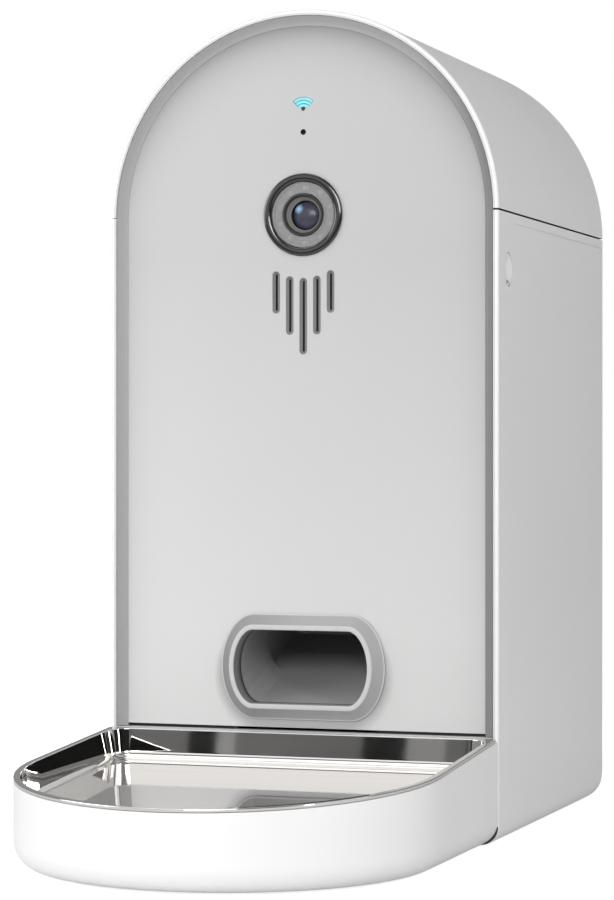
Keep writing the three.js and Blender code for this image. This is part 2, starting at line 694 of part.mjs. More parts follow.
function frontPanel() {
  const inset = panelInset + fit.clearance / 2;
  const low = frontFrame.faceTop + panel.bottomGap;
  const above = block(acrossAll, alongAll, [low, topZ]);
  let plate = prismY(archOutline(inset), panelFrontY, panelBackY).intersect(above);
  const dotZ = signalZ + signal.dotLift;
  const through = [panelFrontY - fit.overrun, panelBackY + fit.overrun];
  const cuts = [
    prismY(outletOutline(outlet.tubeWall + fit.clearance), ...through),
    rodY(camera.barrelRadius + fit.clearance, ...through, 0, seamZ, arcSteps.archCount),
    rodY(microphone.holeRadius, ...through, 0, microphoneZ, arcSteps.tinyCount),
    prismY(signalOpening(), ...through),
    rodY(signal.dotRadius + fit.clearance / 2, ...through, 0, dotZ, arcSteps.tinyCount),
  ];
  for (const [x, slotLow, slotHigh] of speakerSlots()) {
    cuts.push(prismY(slotOutline(x, slotLow, slotHigh, speaker.slotWidth), ...through));
  }
  for (const cut of cuts) plate = plate.subtract(cut);
  return plate;
}

function outletRing() {
  const ringBack = panelFrontY - fit.clearance;
  const ringFront = panelFrontY - outlet.stand;
  const ring = solidOf(loft([
    atDepth(outletOutline(outlet.lip - outlet.tubeWall / 2), ringFront),
    atDepth(outletOutline(outlet.lip), ringFront + outlet.tubeWall / 2),
    atDepth(outletOutline(outlet.border), ringBack - outlet.tubeWall / 2),
    atDepth(outletOutline(outlet.border), ringBack),
  ]));
  const tube = prismY(outletOutline(outlet.tubeWall), ringFront + outlet.lip, bulkheadBackY);
  const mouth = prismY(outletOutline(0), ringFront - fit.overrun, bulkheadBackY + fit.overrun);
  return ring.add(tube).subtract(mouth);
}

// Camera, from the ring in front to the module behind.
function cameraRing() {
  const front = panelFrontY - camera.ringStand;
  const back = panelFrontY - fit.clearance;
  return turnedY([
    [camera.boreRadius, front + camera.windowSetback],
    [camera.boreRadius + camera.windowSetback, front],
    [camera.ringRadius - camera.windowSetback, front],
    [camera.ringRadius, front + camera.windowSetback],
    [camera.ringRadius, back],
    [camera.barrelRadius, back],
    [camera.barrelRadius, panelFrontY + camera.barrelReach],
    [camera.boreRadius, panelFrontY + camera.barrelReach],
    [camera.boreRadius, front + camera.windowSetback],
  ], 0, seamZ, arcSteps.archCount);
}

function cameraWindow() {
  const front = panelFrontY - camera.ringStand + 2 * camera.windowSetback;
  const back = front + camera.windowThickness;
  const outer = camera.boreRadius - fit.clearance;
  const inner = camera.windowInner;
  return turnedY([
    [inner, front],
    [outer, front],
    [outer, back],
    [inner, back],
    [inner, front],
  ], 0, seamZ, arcSteps.archCount);
}

function irLedBoard() {
  const front = panelFrontY + camera.boardSetback;
  const back = front + camera.boardThickness;
  const outer = camera.boreRadius - fit.clearance;
  const inner = camera.windowInner;
  let board = turnedY([[inner, front], [outer, front], [outer, back], [inner, back], [inner, front]], 0, seamZ);
  for (let i = 0; i < camera.ledCount; i++) {
    const angle = (2 * Math.PI * (i + 1 / 2)) / camera.ledCount;
    const x = camera.ledCircle * Math.cos(angle);
    const z = seamZ + camera.ledCircle * Math.sin(angle);
    const ledBack = front + camera.boardThickness / 2;
    board = board.add(rodY(camera.ledRadius, front - camera.ledHeight, ledBack, x, z, arcSteps.tinyCount / 2));
  }
  return board;
}

function lensBarrel() {
  const front = panelFrontY - camera.ringStand + camera.windowSetback;
  const back = panelFrontY + camera.barrelReach;
  const seat = panelFrontY + camera.lensSetback + camera.lensDome;
  return turnedY([
    [camera.hoodMouth, front],
    [camera.hoodRadius, front],
    [camera.hoodRadius, back],
    [0, back],
    [0, seat + camera.windowThickness],
    [camera.hoodThroat, seat + camera.windowThickness],
    [camera.hoodThroat, panelFrontY + camera.lensSetback],
    [camera.hoodMouth, front],
  ], 0, seamZ, arcSteps.archCount);
}

function lensGlass() {
  const front = panelFrontY + camera.lensSetback;
  const back = front + camera.lensDome + camera.windowThickness - fit.clearance;
  const profile = [[0, back], [camera.lensRadius, back]];
  for (let i = 0; i <= arcSteps.cornerCount; i++) {
    const angle = (Math.PI / 2) * (i / arcSteps.cornerCount);
    profile.push([camera.lensRadius * Math.cos(angle), front + camera.lensDome * (1 - Math.sin(angle))]);
  }
  return turnedY(profile, 0, seamZ);
}

function cameraModule() {
  const front = panelFrontY + camera.barrelReach + fit.clearance;
  const half = camera.moduleSize / 2;
  const shade = block([-half, half], [front, front + camera.moduleThickness], [seamZ - half, seamZ + half]);
  const reach = electronics.depth - camera.barrelReach - frontFrame.panelDepth;
  const chip = electronics.chipHalf;
  return shade.add(block([-chip, chip], [front, front + reach / 2], [seamZ - chip, seamZ + chip]));
}

// Speaker, microphone and signal light.
function speakerMesh() {
  return prismY(speakerWindow(fit.clearance), bulkheadFrontY, bulkheadFrontY + speaker.meshThickness);
}

function speakerDriver() {
  const front = bulkheadBackY + fit.clearance;
  const back = front + speaker.driverDepth;
  const height = (speaker.middleLow + speaker.outerHigh) / 2;
  return turnedY([
    [0, front + speaker.coneDepth],
    [speaker.driverRadius - speaker.driverRim, front],
    [speaker.driverRadius, front],
    [speaker.driverRadius, front + speaker.coneDepth / 2],
    [speaker.magnetRadius, front + speaker.coneDepth * 2],
    [speaker.magnetRadius, back],
    [0, back],
  ], 0, height);
}

function microphoneCapsule() {
  return rodY(
    microphone.capsuleRadius, bulkheadFrontY, bulkheadFrontY + microphone.capsuleDepth, 0, microphoneZ,
    arcSteps.tinyCount,
  );
}

function signalLightGuide() {
  const face = panelFrontY + signal.face;
  const behind = bulkheadFrontY + signal.baseThickness / 2;
  const dot = rodY(signal.dotRadius, face, behind, 0, signalZ + signal.dotLift, arcSteps.tinyCount);
  const fan = prismY(fanBand(signal.firstRadius, signalOuterRadius()), face, behind);
  let guide = signalWindow(0, bulkheadFrontY, bulkheadFrontY + signal.baseThickness).add(fan).add(dot);
  for (let i = 1; i < signal.bandCount; i++) {
    const outer = signal.firstRadius + i * (signal.bandWidth + signal.grooveWidth);
    const groove = fanBand(outer - signal.grooveWidth, outer, fit.clearance / signal.firstRadius);
    guide = guide.subtract(prismY(groove, face - fit.overrun, face + signal.grooveDepth));
  }
  return guide;
}

// Electronics cover: a pan behind the bulkhead, with the main board on its bosses.
function coverOutline(inset) {
  const half = electronicsHalfWidth - inset;
  const corner = electronics.cornerRadius - inset;
  const low = electronics.lowest + inset;
  return [
    ...arc(half - corner, low + corner, corner, -Math.PI / 2, 0, arcSteps.cornerCount),
    ...arc(0, seamZ, half, 0, Math.PI, arcSteps.discCount),
    ...arc(corner - half, low + corner, corner, Math.PI, (3 * Math.PI) / 2, arcSteps.cornerCount),
  ];
}

function electronicsCover() {
  const front = bulkheadBackY + fit.clearance;
  const back = front + electronics.depth;
  let cover = prismY(coverOutline(0), front, back);
  cover = cover.subtract(prismY(coverOutline(electronics.wall), front - fit.overrun, back - electronics.wall));
  const bossFront = back - electronics.boardInset + fit.clearance;
  for (const x of [-bossX, bossX]) {
    for (const z of [boardMiddleZ - electronics.bossHalfZ, boardMiddleZ + electronics.bossHalfZ]) {
      const bossBack = back - electronics.wall / 2;
      cover = cover.add(rodY(electronics.bossRadius, bossFront, bossBack, x, z, arcSteps.tinyCount));
    }
  }
  return cover;
}

function mainBoard() {
  const back = bulkheadBackY + fit.clearance + electronics.depth - electronics.boardInset;
  const front = back - electronics.boardThickness;
  const half = boardHalfWidth;
  let board = block([-half, half], [front, back], [electronics.boardLowest, boardMiddleZ]);
  const coverInner = electronicsHalfWidth - electronics.wall;
  const upperHalfWidth = Math.sqrt(coverInner ** 2 - (boardHighZ - seamZ) ** 2) - electronics.boardShoulderGap;
  board = board.add(block(
    [-upperHalfWidth, upperHalfWidth], [front, back], [boardMiddleZ, boardHighZ],
  ));
  const chip = electronics.chipHalf;
  for (const side of [-1, 1]) {
    const x = side * (half - 2 * chip);
    const z = boardMiddleZ - side * chip;
    const chipFront = front - electronics.chipHeight;
    board = board.add(block([x - chip, x + chip], [chipFront, back - fit.clearance], [z - chip, z + chip]));
  }
  return board;
}

// Lid: the arched shell with its tongues, the liner that closes it, the seal and the desiccant box.
function lidShell() {
  const inner = prismY(
    openArchOutline(lidInnerRadius, seamZ - fit.overrun), frontY - fit.overrun, rearY - lid.rearWall,
  );
  let part = shell.intersect(upperHalf).subtract(inner);
  const along = [buttonY - latch.width / 2, buttonY + latch.width / 2];
  const bridgeLow = seamZ + lid.tongueBridgeLift;
  const bridgeHigh = bridgeLow + lid.tongueBridge;
  const reach = Math.sqrt(lidInnerRadius ** 2 - (bridgeHigh - seamZ) ** 2) + lid.wall / 2;
  for (const side of [-1, 1]) {
    part = part.add(block(across(side, tongueInnerX, reach), along, [bridgeLow, bridgeHigh]));
    part = part.add(block(across(side, tongueInnerX, tongueOuterX), along, [tongueLowZ, bridgeHigh]));
  }
  return part.subtract(knuckles("housing", fit.running)).add(knuckles("lid", 0)).subtract(hingeBores());
}

function lidLiner() {
  const front = hopperFrontY + fit.clearance;
  const plateHalf = lidInnerRadius - lid.lipGap - lid.lipThickness - 2 * fit.running;
  // The plate ends clear of the housing's rear lip, which it passes as the lid turns.
  const lipSwing = Math.hypot(lid.rearWall + lid.lipGap + lid.lipThickness, lid.lipHeight);
  const plateBack = rearY - lipSwing - fit.running;
  const plate = block([-plateHalf, plateHalf], [front, plateBack], [linerLowZ, linerLowZ + lid.linerThickness]);
  const wallLow = seamZ + lid.lipHeight + fit.running;
  const radius = lidInnerRadius - fit.clearance;
  const arch = openArchOutline(radius, seamZ - fit.overrun);
  const wallSpan = [front, front + lid.linerThickness];
  const frontWall = prismY(arch, ...wallSpan).intersect(block(acrossAll, alongAll, [wallLow, topZ]));
  const web = block([-plateHalf, plateHalf], wallSpan, [linerLowZ, wallLow + fit.overrun]);
  return joined([plate, frontWall, web]);
}

function hopperHalfWidth() {
  return lidInnerRadius - lid.lipGap - fit.clearance - lid.lipThickness - fit.clearance - hopper.rimWidth;
}

function hopperRimOutline(inset) {
  const half = hopperHalfWidth() + hopper.rimWidth - inset;
  const front = hopperFrontY + inset;
  const rear = hopperRearY - inset;
  return roundedRectangle(-half, half, front, rear, Math.max(hopper.cornerRadius - inset, body.leastRadius));
}

function lidSeal() {
  const low = hopperRimZ + fit.clearance;
  const high = linerLowZ - fit.clearance;
  const outside = prismZ(hopperRimOutline(fit.clearance + hopper.wall), low, high);
  const inside = hopperRimOutline(fit.clearance + hopper.wall + seal.width);
  return outside.subtract(prismZ(inside, low - fit.overrun, high + fit.overrun));
}

function desiccantBox() {
  const high = linerLowZ - fit.clearance;
  const low = high - desiccant.depth;
  const inner = desiccant.radius - desiccant.wall;
  return turnedZ([
    [0, high],
    [desiccant.radius, high],
    [desiccant.radius, low],
    [inner, low],
    [inner, high - desiccant.wall],
    [0, high - desiccant.wall],
  ], 0, middleY);
}

function desiccantCap() {
  const low = linerLowZ - fit.clearance - desiccant.depth;
  const radius = desiccant.radius - desiccant.wall - fit.clearance;
  let cap = rodZ(radius, low, low + desiccant.capThickness, 0, middleY);
  for (let i = 0; i < desiccant.slotCount; i++) {
    const x = (i - (desiccant.slotCount - 1) / 2) * 2 * desiccant.slotWidth;
    const half = desiccant.slotLength / 2;
    cap = cap.subtract(block(
      [x - desiccant.slotWidth / 2, x + desiccant.slotWidth / 2],
      [middleY - half, middleY + half],
      [low - fit.overrun, low + desiccant.capThickness + fit.overrun],
    ));
  }
  return cap;
}

function hingePin(side) {
  const half = hinge.lidLength / 2 + fit.running + hinge.housingLength - fit.clearance;
  const centre = side * hinge.offset;
  return rodX(hinge.pinRadius, centre - half, centre + half, rearY, seamZ, arcSteps.tinyCount);
}

// Lid release: a button in each side wall, the latch slider behind it and its spring.
function releaseButton(side) {
  const outer = bodyRadius - button.recess;
  return rodX(
    button.radius, ...across(side, outer - button.thickness, outer), buttonY, buttonZ, arcSteps.discCount,
  );
}

// The slider is a fork under the lid's tongue: a nose on its inner side and a tail that the button pushes.
function latchSlider(side) {
  const along = [buttonY - latch.width / 2, buttonY + latch.width / 2];
  const armLow = armTopZ - latch.armHeight;
  const noseInnerX = sliderNoseX - latch.noseThickness;
  const tailX = tongueOuterX + button.travel + fit.running;
  return joined([
    block(across(side, noseInnerX, sliderOuterX), along, [armLow, armTopZ]),
    block(across(side, noseInnerX, sliderNoseX), along, [armLow, noseTopZ]),
    block(across(side, tailX, sliderOuterX), along, [armLow, noseTopZ]),
  ]);
}

// A compression spring as one unbroken wire along X, from the electronics cover towards the slider's nose.
function latchSpring(side) {
  const start = electronicsHalfWidth + fit.clearance + spring.wireRadius;
  const stop = sliderNoseX - latch.noseThickness - button.travel - spring.shortfall - spring.wireRadius;
  const steps = spring.turnCount * arcSteps.springTurnCount;
  const points = [];
  for (let i = 0; i <= steps; i++) {
    const angle = (2 * Math.PI * i) / arcSteps.springTurnCount;
    points.push(new THREE.Vector3(
      side * (start + ((stop - start) * i) / steps),
      buttonY + spring.coilRadius * Math.cos(angle),
      armTopZ + spring.lift + spring.coilRadius * Math.sin(angle),
    ));
  }
  const path = new THREE.CatmullRomCurve3(points);
  const lastCorner = (2 * Math.PI * (arcSteps.wireCount - 1)) / arcSteps.wireCount;
  const section = new THREE.Shape(arc(0, 0, spring.wireRadius, 0, lastCorner, arcSteps.wireCount - 1));
  return solidOf(new THREE.ExtrudeGeometry(section, { steps, extrudePath: path, bevelEnabled: false }));
}

// Hopper: an open box with a rim that rests on the housing's ledges, and a funnel down to the rotor.
function hopperBody() {
  const half = hopperHalfWidth();
  const neckLow = rotorZ + rotor.housingRadius;
  const outlineAt = (inset) => roundedRectangle(
    inset - half, half - inset, hopperFrontY + hopper.rimWidth + inset, hopperRearY - hopper.rimWidth - inset,
    hopper.cornerRadius - inset,
  );
  const neckAt = (inset) => roundedRectangle(
    inset - hopper.neckHalfWidth, hopper.neckHalfWidth - inset,
    rotorY - hopper.neckHalfDepth + inset, rotorY + hopper.neckHalfDepth - inset,
    hopper.wall + fit.running - inset,
  );
  const boxOf = (inset, extra) => solidOf(loft([
    atHeight(neckAt(inset), neckLow - extra),
    atHeight(neckAt(inset), hopper.neckHigh),
    atHeight(outlineAt(inset), hopper.boxLowest),
    atHeight(outlineAt(inset), hopperRimZ + extra),
  ]));
  const rim = prismZ(hopperRimOutline(0), hopperRimZ - hopper.rimThickness, hopperRimZ);
  return boxOf(0, 0).add(rim).subtract(boxOf(hopper.wall, fit.overrun));
}

// Rotor and its housing, with collars above and below.
function rotorHousing() {
  const outer = rotor.housingRadius;
  const inner = outer - rotor.housingWall;
  const half = rotorHalfLength;
  const floorX = -half + rotor.housingWall;
  const wide = rotor.openingHalfWidth + rotor.housingWall;
  const deep = rotor.openingHalfDepth + rotor.housingWall;
  const collarTop = rotorZ + rotor.collarHeight;
  const drum = rodX(outer, -half, half, rotorY, rotorZ, arcSteps.archCount);
  const collar = block([-wide, wide], [rotorY - deep, rotorY + deep], [rotorZ, collarTop]);
  const room = rodX(inner, floorX, half + fit.overrun, rotorY, rotorZ, arcSteps.archCount);
  const passage = block(
    [-rotor.openingHalfWidth, rotor.openingHalfWidth],
    [rotorY - rotor.openingHalfDepth, rotorY + rotor.openingHalfDepth],
    [rotorZ - outer - fit.overrun, collarTop + fit.overrun],
  );
  const boreRadius = rotor.shaftRadius + fit.clearance;
  const bore = rodX(
    boreRadius, -half - fit.overrun, floorX + fit.overrun, rotorY, rotorZ, arcSteps.tinyCount,
  );
  return drum.add(collar).subtract(room).subtract(passage).subtract(bore);
}

function rotorPaddles() {
  const tip = rotor.housingRadius - rotor.housingWall - rotor.tipGap;
  const low = -rotorHalfLength + rotor.housingWall + fit.clearance;
  const high = rotorHalfLength - fit.clearance;
  let part = rodX(rotor.hubRadius, low, high, 0, 0);
  for (let i = 0; i < rotor.vaneCount; i++) {
    const half = rotor.vaneThickness / 2;
    const vane = block([low, high], [-half, half], [rotor.hubRadius / 2, tip]);
    part = part.add(vane.rotate([(360 * i) / rotor.vaneCount, 0, 0]));
  }
  const boreRadius = rotor.shaftRadius + fit.clearance;
  part = part.subtract(rodX(boreRadius, low - fit.overrun, high + fit.overrun, 0, 0, arcSteps.tinyCount));
  return part.translate([0, rotorY, rotorZ]);
}

function gearFrontX() {
  return rotorHalfLength + fit.clearance + gearbox.plate + fit.clearance + gears.hubLength;
}

function coverEndX() {
  return gearFrontX() + gears.faceWidth + gears.hubLength + fit.clearance + gearbox.wall;
}

function rotorShaft() {
  const low = -rotorHalfLength - fit.overrun;
  return rodX(rotor.shaftRadius, low, coverEndX() - gearbox.wall / 2, rotorY, rotorZ, arcSteps.tinyCount);
}

// A spur gear's outline about the origin, with a tooth on the +Y side turned by the given angle.
function gearOutline(teeth, turn) {
  const pitchRadius = (gears.module * teeth) / 2;
  const tipRadius = pitchRadius + gears.module * gears.addendumShare;
  const rootRadius = pitchRadius - gears.module * gears.dedendumShare;
  const step = (2 * Math.PI) / teeth;
  const slack = gears.backlash / pitchRadius / 2;
  const points = [];
  for (let i = 0; i < teeth; i++) {
    const middle = turn + i * step;
    const halfRoot = (step * gears.rootShare - slack) / 2;
    const halfTip = (step * gears.tipShare - slack) / 2 / 2;
    const flank = [
      [rootRadius, -halfRoot],
      [tipRadius, -halfTip],
      [tipRadius, halfTip],
      [rootRadius, halfRoot],
    ];
    for (const [radius, lean] of flank) {
      points.push(new THREE.Vector2(radius * Math.cos(middle + lean), radius * Math.sin(middle + lean)));
    }
  }
  return points;
}

function driveGear() {
  const low = gearFrontX();
  const hub = rodX(gears.hubRadius, low - gears.hubLength + fit.clearance, low + fit.overrun, 0, 0);
  const wheel = prismX(gearOutline(gears.gearToothCount, 0), low, low + gears.faceWidth).add(hub);
  const bore = rodX(
    rotor.shaftRadius + fit.clearance, low - gears.faceWidth, low + 2 * gears.faceWidth, 0, 0,
    arcSteps.tinyCount,
  );
  return wheel.subtract(bore).translate([0, rotorY, rotorZ]);
}

function motorPinion() {
  const low = gearFrontX();
  const halfStep = Math.PI / gears.pinionToothCount;
  const wheel = prismX(gearOutline(gears.pinionToothCount, halfStep), low, low + gears.faceWidth);
  const boreRadius = gears.motorShaftRadius + fit.clearance;
  const bore = rodX(
    boreRadius, low - fit.overrun, low + gears.faceWidth + fit.overrun, 0, 0, arcSteps.tinyCount,
  );
  return wheel.subtract(bore).translate([0, motorY, rotorZ]);
}

function gearboxOutline(grow) {
  const gearRadius = (gears.module * gears.gearToothCount) / 2 + gearbox.rim + grow;
  return twoCircleOutline(rotorY, rotorZ, gearRadius, motorY, motor.radius + gearbox.plate + grow);
}

function gearboxPlate() {
  const low = rotorHalfLength + fit.clearance;
  const plate = prismX(gearboxOutline(0), low, low + gearbox.plate);
  const through = [low - fit.overrun, low + gearbox.plate + fit.overrun];
  return plate
    .subtract(rodX(rotor.shaftRadius + fit.clearance, ...through, rotorY, rotorZ, arcSteps.tinyCount))
    .subtract(rodX(motor.bossRadius + fit.clearance, ...through, motorY, rotorZ));
}

function gearMotor() {
  const face = rotorHalfLength;
  const shaftEnd = gearFrontX() + gears.faceWidth;
  return joined([
    rodX(motor.radius, face - motor.length, face, motorY, rotorZ, arcSteps.archCount),
    rodX(motor.bossRadius, face - fit.overrun, face + fit.clearance + gearbox.plate, motorY, rotorZ),
    rodX(gears.motorShaftRadius, face, shaftEnd, motorY, rotorZ, arcSteps.tinyCount),
  ]);
}

function gearboxCover() {
  const low = rotorHalfLength + 2 * fit.clearance + gearbox.plate;
  const high = coverEndX();
  const pan = prismX(gearboxOutline(0), low, high);
  const room = prismX(gearboxOutline(-gearbox.wall), low - fit.overrun, high - gearbox.wall);
  const boreRadius = rotor.shaftRadius + fit.clearance;
  const bore = rodX(boreRadius, low, high + fit.overrun, rotorY, rotorZ, arcSteps.tinyCount);
  return pan.subtract(room).subtract(bore);
}

// Chute: a sloped duct from the pit under the rotor to the outlet, on two legs.
function slopedAlongY(solid, y0) {
  return solid.warp((vertex) => {
    vertex[2] += chute.slopeShare * (vertex[1] - y0);
  });
}

function chuteDuct() {
  const front = bulkheadBackY + fit.clearance;
  const floorAt = (y) => outletZ - outlet.halfHeight + chute.slopeShare * (y - front);
  const pitFront = rotorY - chute.pitHalfDepth;
  const pitRear = rotorY + chute.pitHalfDepth;
  const top = rotorZ - chute.pitTopDrop;
  const half = outlet.halfWidth;
  const { wall } = chute;
  const pit = (grow, high) => prismX([
    new THREE.Vector2(pitFront - grow, floorAt(pitFront - grow) - grow),
    new THREE.Vector2(pitRear + grow, floorAt(pitRear + grow) - grow),
    new THREE.Vector2(pitRear + grow, high),
    new THREE.Vector2(pitFront - grow, high),
  ], -half - grow, half + grow);
  const flange = prismY(outletOutline(chute.flange), front, front + wall);
  const outside = joined([
    slopedAlongY(prismY(outletOutline(wall), front, rotorY), front),
    pit(wall, top),
    flange,
  ]);
  const inside = joined([
    slopedAlongY(prismY(outletOutline(0), front - fit.overrun, pitRear), front),
    pit(0, top + fit.overrun),
  ]);
  const roomRadius = rotor.housingRadius + fit.clearance;
  const roomHalf = rotorHalfLength + wall;
  const room = rodX(roomRadius, -roomHalf, roomHalf, rotorY, rotorZ, arcSteps.archCount);
  const legs = [];
  for (const side of [-1, 1]) {
    for (const y of [pitFront + chute.legWidth, pitRear - chute.legWidth]) {
      const x = side * chute.legSpread;
      const legHalf = chute.legWidth / 2;
      legs.push(block(
        [x - legHalf, x + legHalf], [y - legHalf, y + legHalf], [plateHighZ + fit.clearance, floorAt(y)],
      ));
    }
  }
  return outside.add(joined(legs)).subtract(inside).subtract(room);
}

// Base plate, its screws and the feet.
function basePlate() {
  let plate = prismZ(plateOutline(0), plateLowZ, plateHighZ);
  for (const [x, y] of screwPlaces()) {
    const wide = base.screwHeadRadius + fit.clearance;
    const narrow = base.screwRadius + fit.clearance;
    plate = plate.subtract(turnedZ([
      [0, plateLowZ - fit.overrun],
      [wide, plateLowZ - fit.overrun],
      [wide, plateLowZ],
      [narrow, plateLowZ + base.screwHead],
      [narrow, plateHighZ + fit.overrun],
      [0, plateHighZ + fit.overrun],
    ], x, y, arcSteps.tinyCount));
  }
  return plate;
}

function baseScrew(place) {
  const [x, y] = place;
  return turnedZ([
    [0, plateLowZ],
    [base.screwHeadRadius, plateLowZ],
    [base.screwRadius, plateLowZ + base.screwHead],
    [base.screwRadius, plateLowZ + base.screwLength],
    [0, plateLowZ + base.screwLength],
  ], x, y, arcSteps.tinyCount);
}

function bodyFootPlaces() {
  const places = [];
  for (const y of [frontY + base.footFront, rearY - base.footRear]) {
    for (const x of [-bodyFootX, bodyFootX]) places.push([x, y]);
  }
  return places;
}

function bodyFoot([x, y]) {
  return rodZ(base.footRadius, 0, body.standHeight, x, y, arcSteps.smallCount);
}

// Batteries in their box behind a door that slides up out of the rear wall.
function batteryBoxSize() {
  const half = battery.cellCount * (battery.cellRadius + fit.clearance / 2) + fit.clearance + battery.boxWall;
  const high = battery.lowest + battery.cellHeight + battery.capHeight + 2 * (battery.boxWall + fit.clearance);
  const back = innerRearY - fit.clearance;
  const front = back - 2 * (battery.cellRadius + fit.clearance) - battery.boxWall;
  return { half, low: battery.lowest, high, front, back };
}

function doorSize() {
  const box = batteryBoxSize();
  const half = box.half - battery.boxWall + battery.doorMargin;
  return {
    half,
    low: box.low + battery.boxWall - battery.doorMargin,
    high: box.high - battery.boxWall + battery.doorMargin,
  };
}

function batteryBox() {
  const { half, low, high, front, back } = batteryBoxSize();
  const { boxWall } = battery;
  return block([-half, half], [front, back], [low, high]).subtract(block(
    [boxWall - half, half - boxWall], [front + boxWall, back + fit.overrun], [low + boxWall, high - boxWall],
  ));
}

function batteryCell(index) {
  const { low, back } = batteryBoxSize();
  const x = (index - (battery.cellCount - 1) / 2) * (2 * battery.cellRadius + fit.clearance);
  const y = back - battery.cellRadius - fit.clearance;
  const z = low + battery.boxWall + fit.clearance;
  const jacket = rodZ(battery.cellRadius, z, z + battery.cellHeight, x, y, arcSteps.smallCount);
  const high = z + battery.cellHeight;
  const cap = rodZ(
    battery.capRadius, high - fit.overrun, high + battery.capHeight, x, y, arcSteps.tinyCount,
  );
  return jacket.add(cap);
}

function batteryDoor() {
  const { half, low, high } = doorSize();
  let door = block([-half, half], [rearY - battery.doorThickness, rearY], [low, high]);
  for (let i = 0; i < battery.ribCount; i++) {
    const z = high - battery.doorMargin - i * battery.ribPitch;
    const groove = battery.ribWidth / 2;
    door = door.subtract(block(
      [-half / 3, half / 3], [rearY - groove, rearY + fit.overrun], [z - battery.ribWidth, z],
    ));
  }
  return door;
}

// Power inlet, reset button and the board they share.
function powerInlet() {
  const back = rearY - fit.clearance;
  const front = back - power.inletDepth;
  const bottom = back - power.socketDepth;
  return turnedY([
    [0, front],
    [power.inletRadius, front],
    [power.inletRadius, back],
    [power.socketRadius, back],
    [power.socketRadius, bottom],
    [power.pinRadius, bottom],
    [power.pinRadius, back - power.pinRadius],
    [0, back - power.pinRadius],
  ], inletX, power.height);
}

function powerBoardBackY() {
  return rearY - fit.clearance - power.inletDepth - fit.clearance;
}

function powerBoard() {
  const back = powerBoardBackY();
  const front = back - power.boardThickness;
  const half = powerBoardHalfWidth;
  const high = battery.lowest - fit.running;
  const board = block([-half, half], [front, back], [high - power.boardHeight, high]);
  const switchHalf = power.switchSize / 2;
  return board.add(block(
    [-inletX - switchHalf, -inletX + switchHalf],
    [front, back + power.switchHeight],
    [power.height - switchHalf, power.height + switchHalf],
  ));
}

function resetButton() {
  const out = rearY + power.buttonStand;
  const switchFace = powerBoardBackY() + power.switchHeight;
  const capFront = out - power.buttonLength;
  const cap = rodY(power.buttonRadius, capFront, out, -inletX, power.height, arcSteps.tinyCount);
  const stemEnd = switchFace + power.buttonTravel + fit.clearance;
  const stemBack = capFront + power.buttonLength / 2;
  return cap.add(rodY(power.buttonRadius / 2, stemEnd, stemBack, -inletX, power.height, arcSteps.tinyCount));
}

// Tray with its tongues and feet, and the steel bowl in it.
function trayShell() {
  const rear = frontY - fit.clearance;
  const sections = [];
  for (let i = 0; i <= arcSteps.edgeCount; i++) {
    const angle = (Math.PI / 2) * (i / arcSteps.edgeCount);
    const inset = tray.bottomRadius * (1 - Math.sin(angle));
    const z = body.standHeight + tray.bottomRadius * (1 - Math.cos(angle));
    sections.push(atHeight(trayOutline(inset, rear, body.leastRadius), z));
  }
  sections.push(underRim(trayOutline(0, rear, body.leastRadius), bowl.flangeDrop + fit.clearance));
  // Over the rim and down the inside, which starts further forward because the rear wall has its own thickness.
  const inner = (inset) => trayOutline(inset, rear - tray.wall, body.leastRadius);
  const floorZ = body.standHeight + tray.floor;
  sections.push(underRim(inner(tray.wall), bowl.flangeDrop + fit.clearance));
  sections.push(atHeight(inner(tray.wall), floorZ + tray.bottomRadius));
  sections.push(atHeight(inner(tray.wall + tray.bottomRadius / 4), floorZ + tray.bottomRadius / 4));
  sections.push(atHeight(inner(tray.bottomRadius), floorZ));
  let part = solidOf(loft(sections));
  for (const side of [-1, 1]) {
    part = part.add(block(
      [side * tray.tongueX - tray.tongueHalfWidth, side * tray.tongueX + tray.tongueHalfWidth],
      [rear - tray.wall / 2, frontY + tray.tongueReach],
      [tray.tongueLow, tray.tongueHigh],
    ));
    part = part.subtract(rodZ(
      tray.footRadius + fit.clearance, body.standHeight - fit.overrun, body.standHeight + tray.footPocket,
      side * tray.footX, frontY - tray.footReach,
    ));
  }
  return part;
}

function trayFoot(side) {
  const high = body.standHeight + tray.footPocket - fit.clearance;
  return rodZ(tray.footRadius, 0, high, side * tray.footX, frontY - tray.footReach);
}

function steelBowl() {
  const rear = frontY - bowl.rearGap;
  const rim = (inset) => trayOutline(inset, rear - inset, bowl.rimCorner);
  const wall = (inset) => trayOutline(inset, rear - inset, bowl.rearCorner);
  const floorAt = (y) => tray.rimHeight - bowl.floorDrop + bowl.floorSlopeShare * (y - frontY);
  const onFloor = (outline, lift) => ({
    outline,
    place: (point) => new THREE.Vector3(point.x, point.y, floorAt(point.y) + lift),
  });
  const outer = bowl.flange - bowl.steel;
  return solidOf(loft([
    onFloor(wall(outer + bowl.filletInset), -bowl.steel),
    underRim(wall(outer + bowl.steel / 2), bowl.wallDrop),
    underRim(wall(outer), bowl.flangeDrop),
    underRim(rim(0), bowl.flangeDrop),
    underRim(rim(0), bowl.rimRound),
    underRim(rim(bowl.rimRound), 0),
    underRim(wall(bowl.flange - bowl.rimRound), 0),
    underRim(wall(bowl.flange), bowl.rimRound),
    underRim(wall(bowl.flange + bowl.steel / 2), bowl.wallDrop),
    onFloor(wall(bowl.flange + bowl.filletInset), 0),
  ]));
}

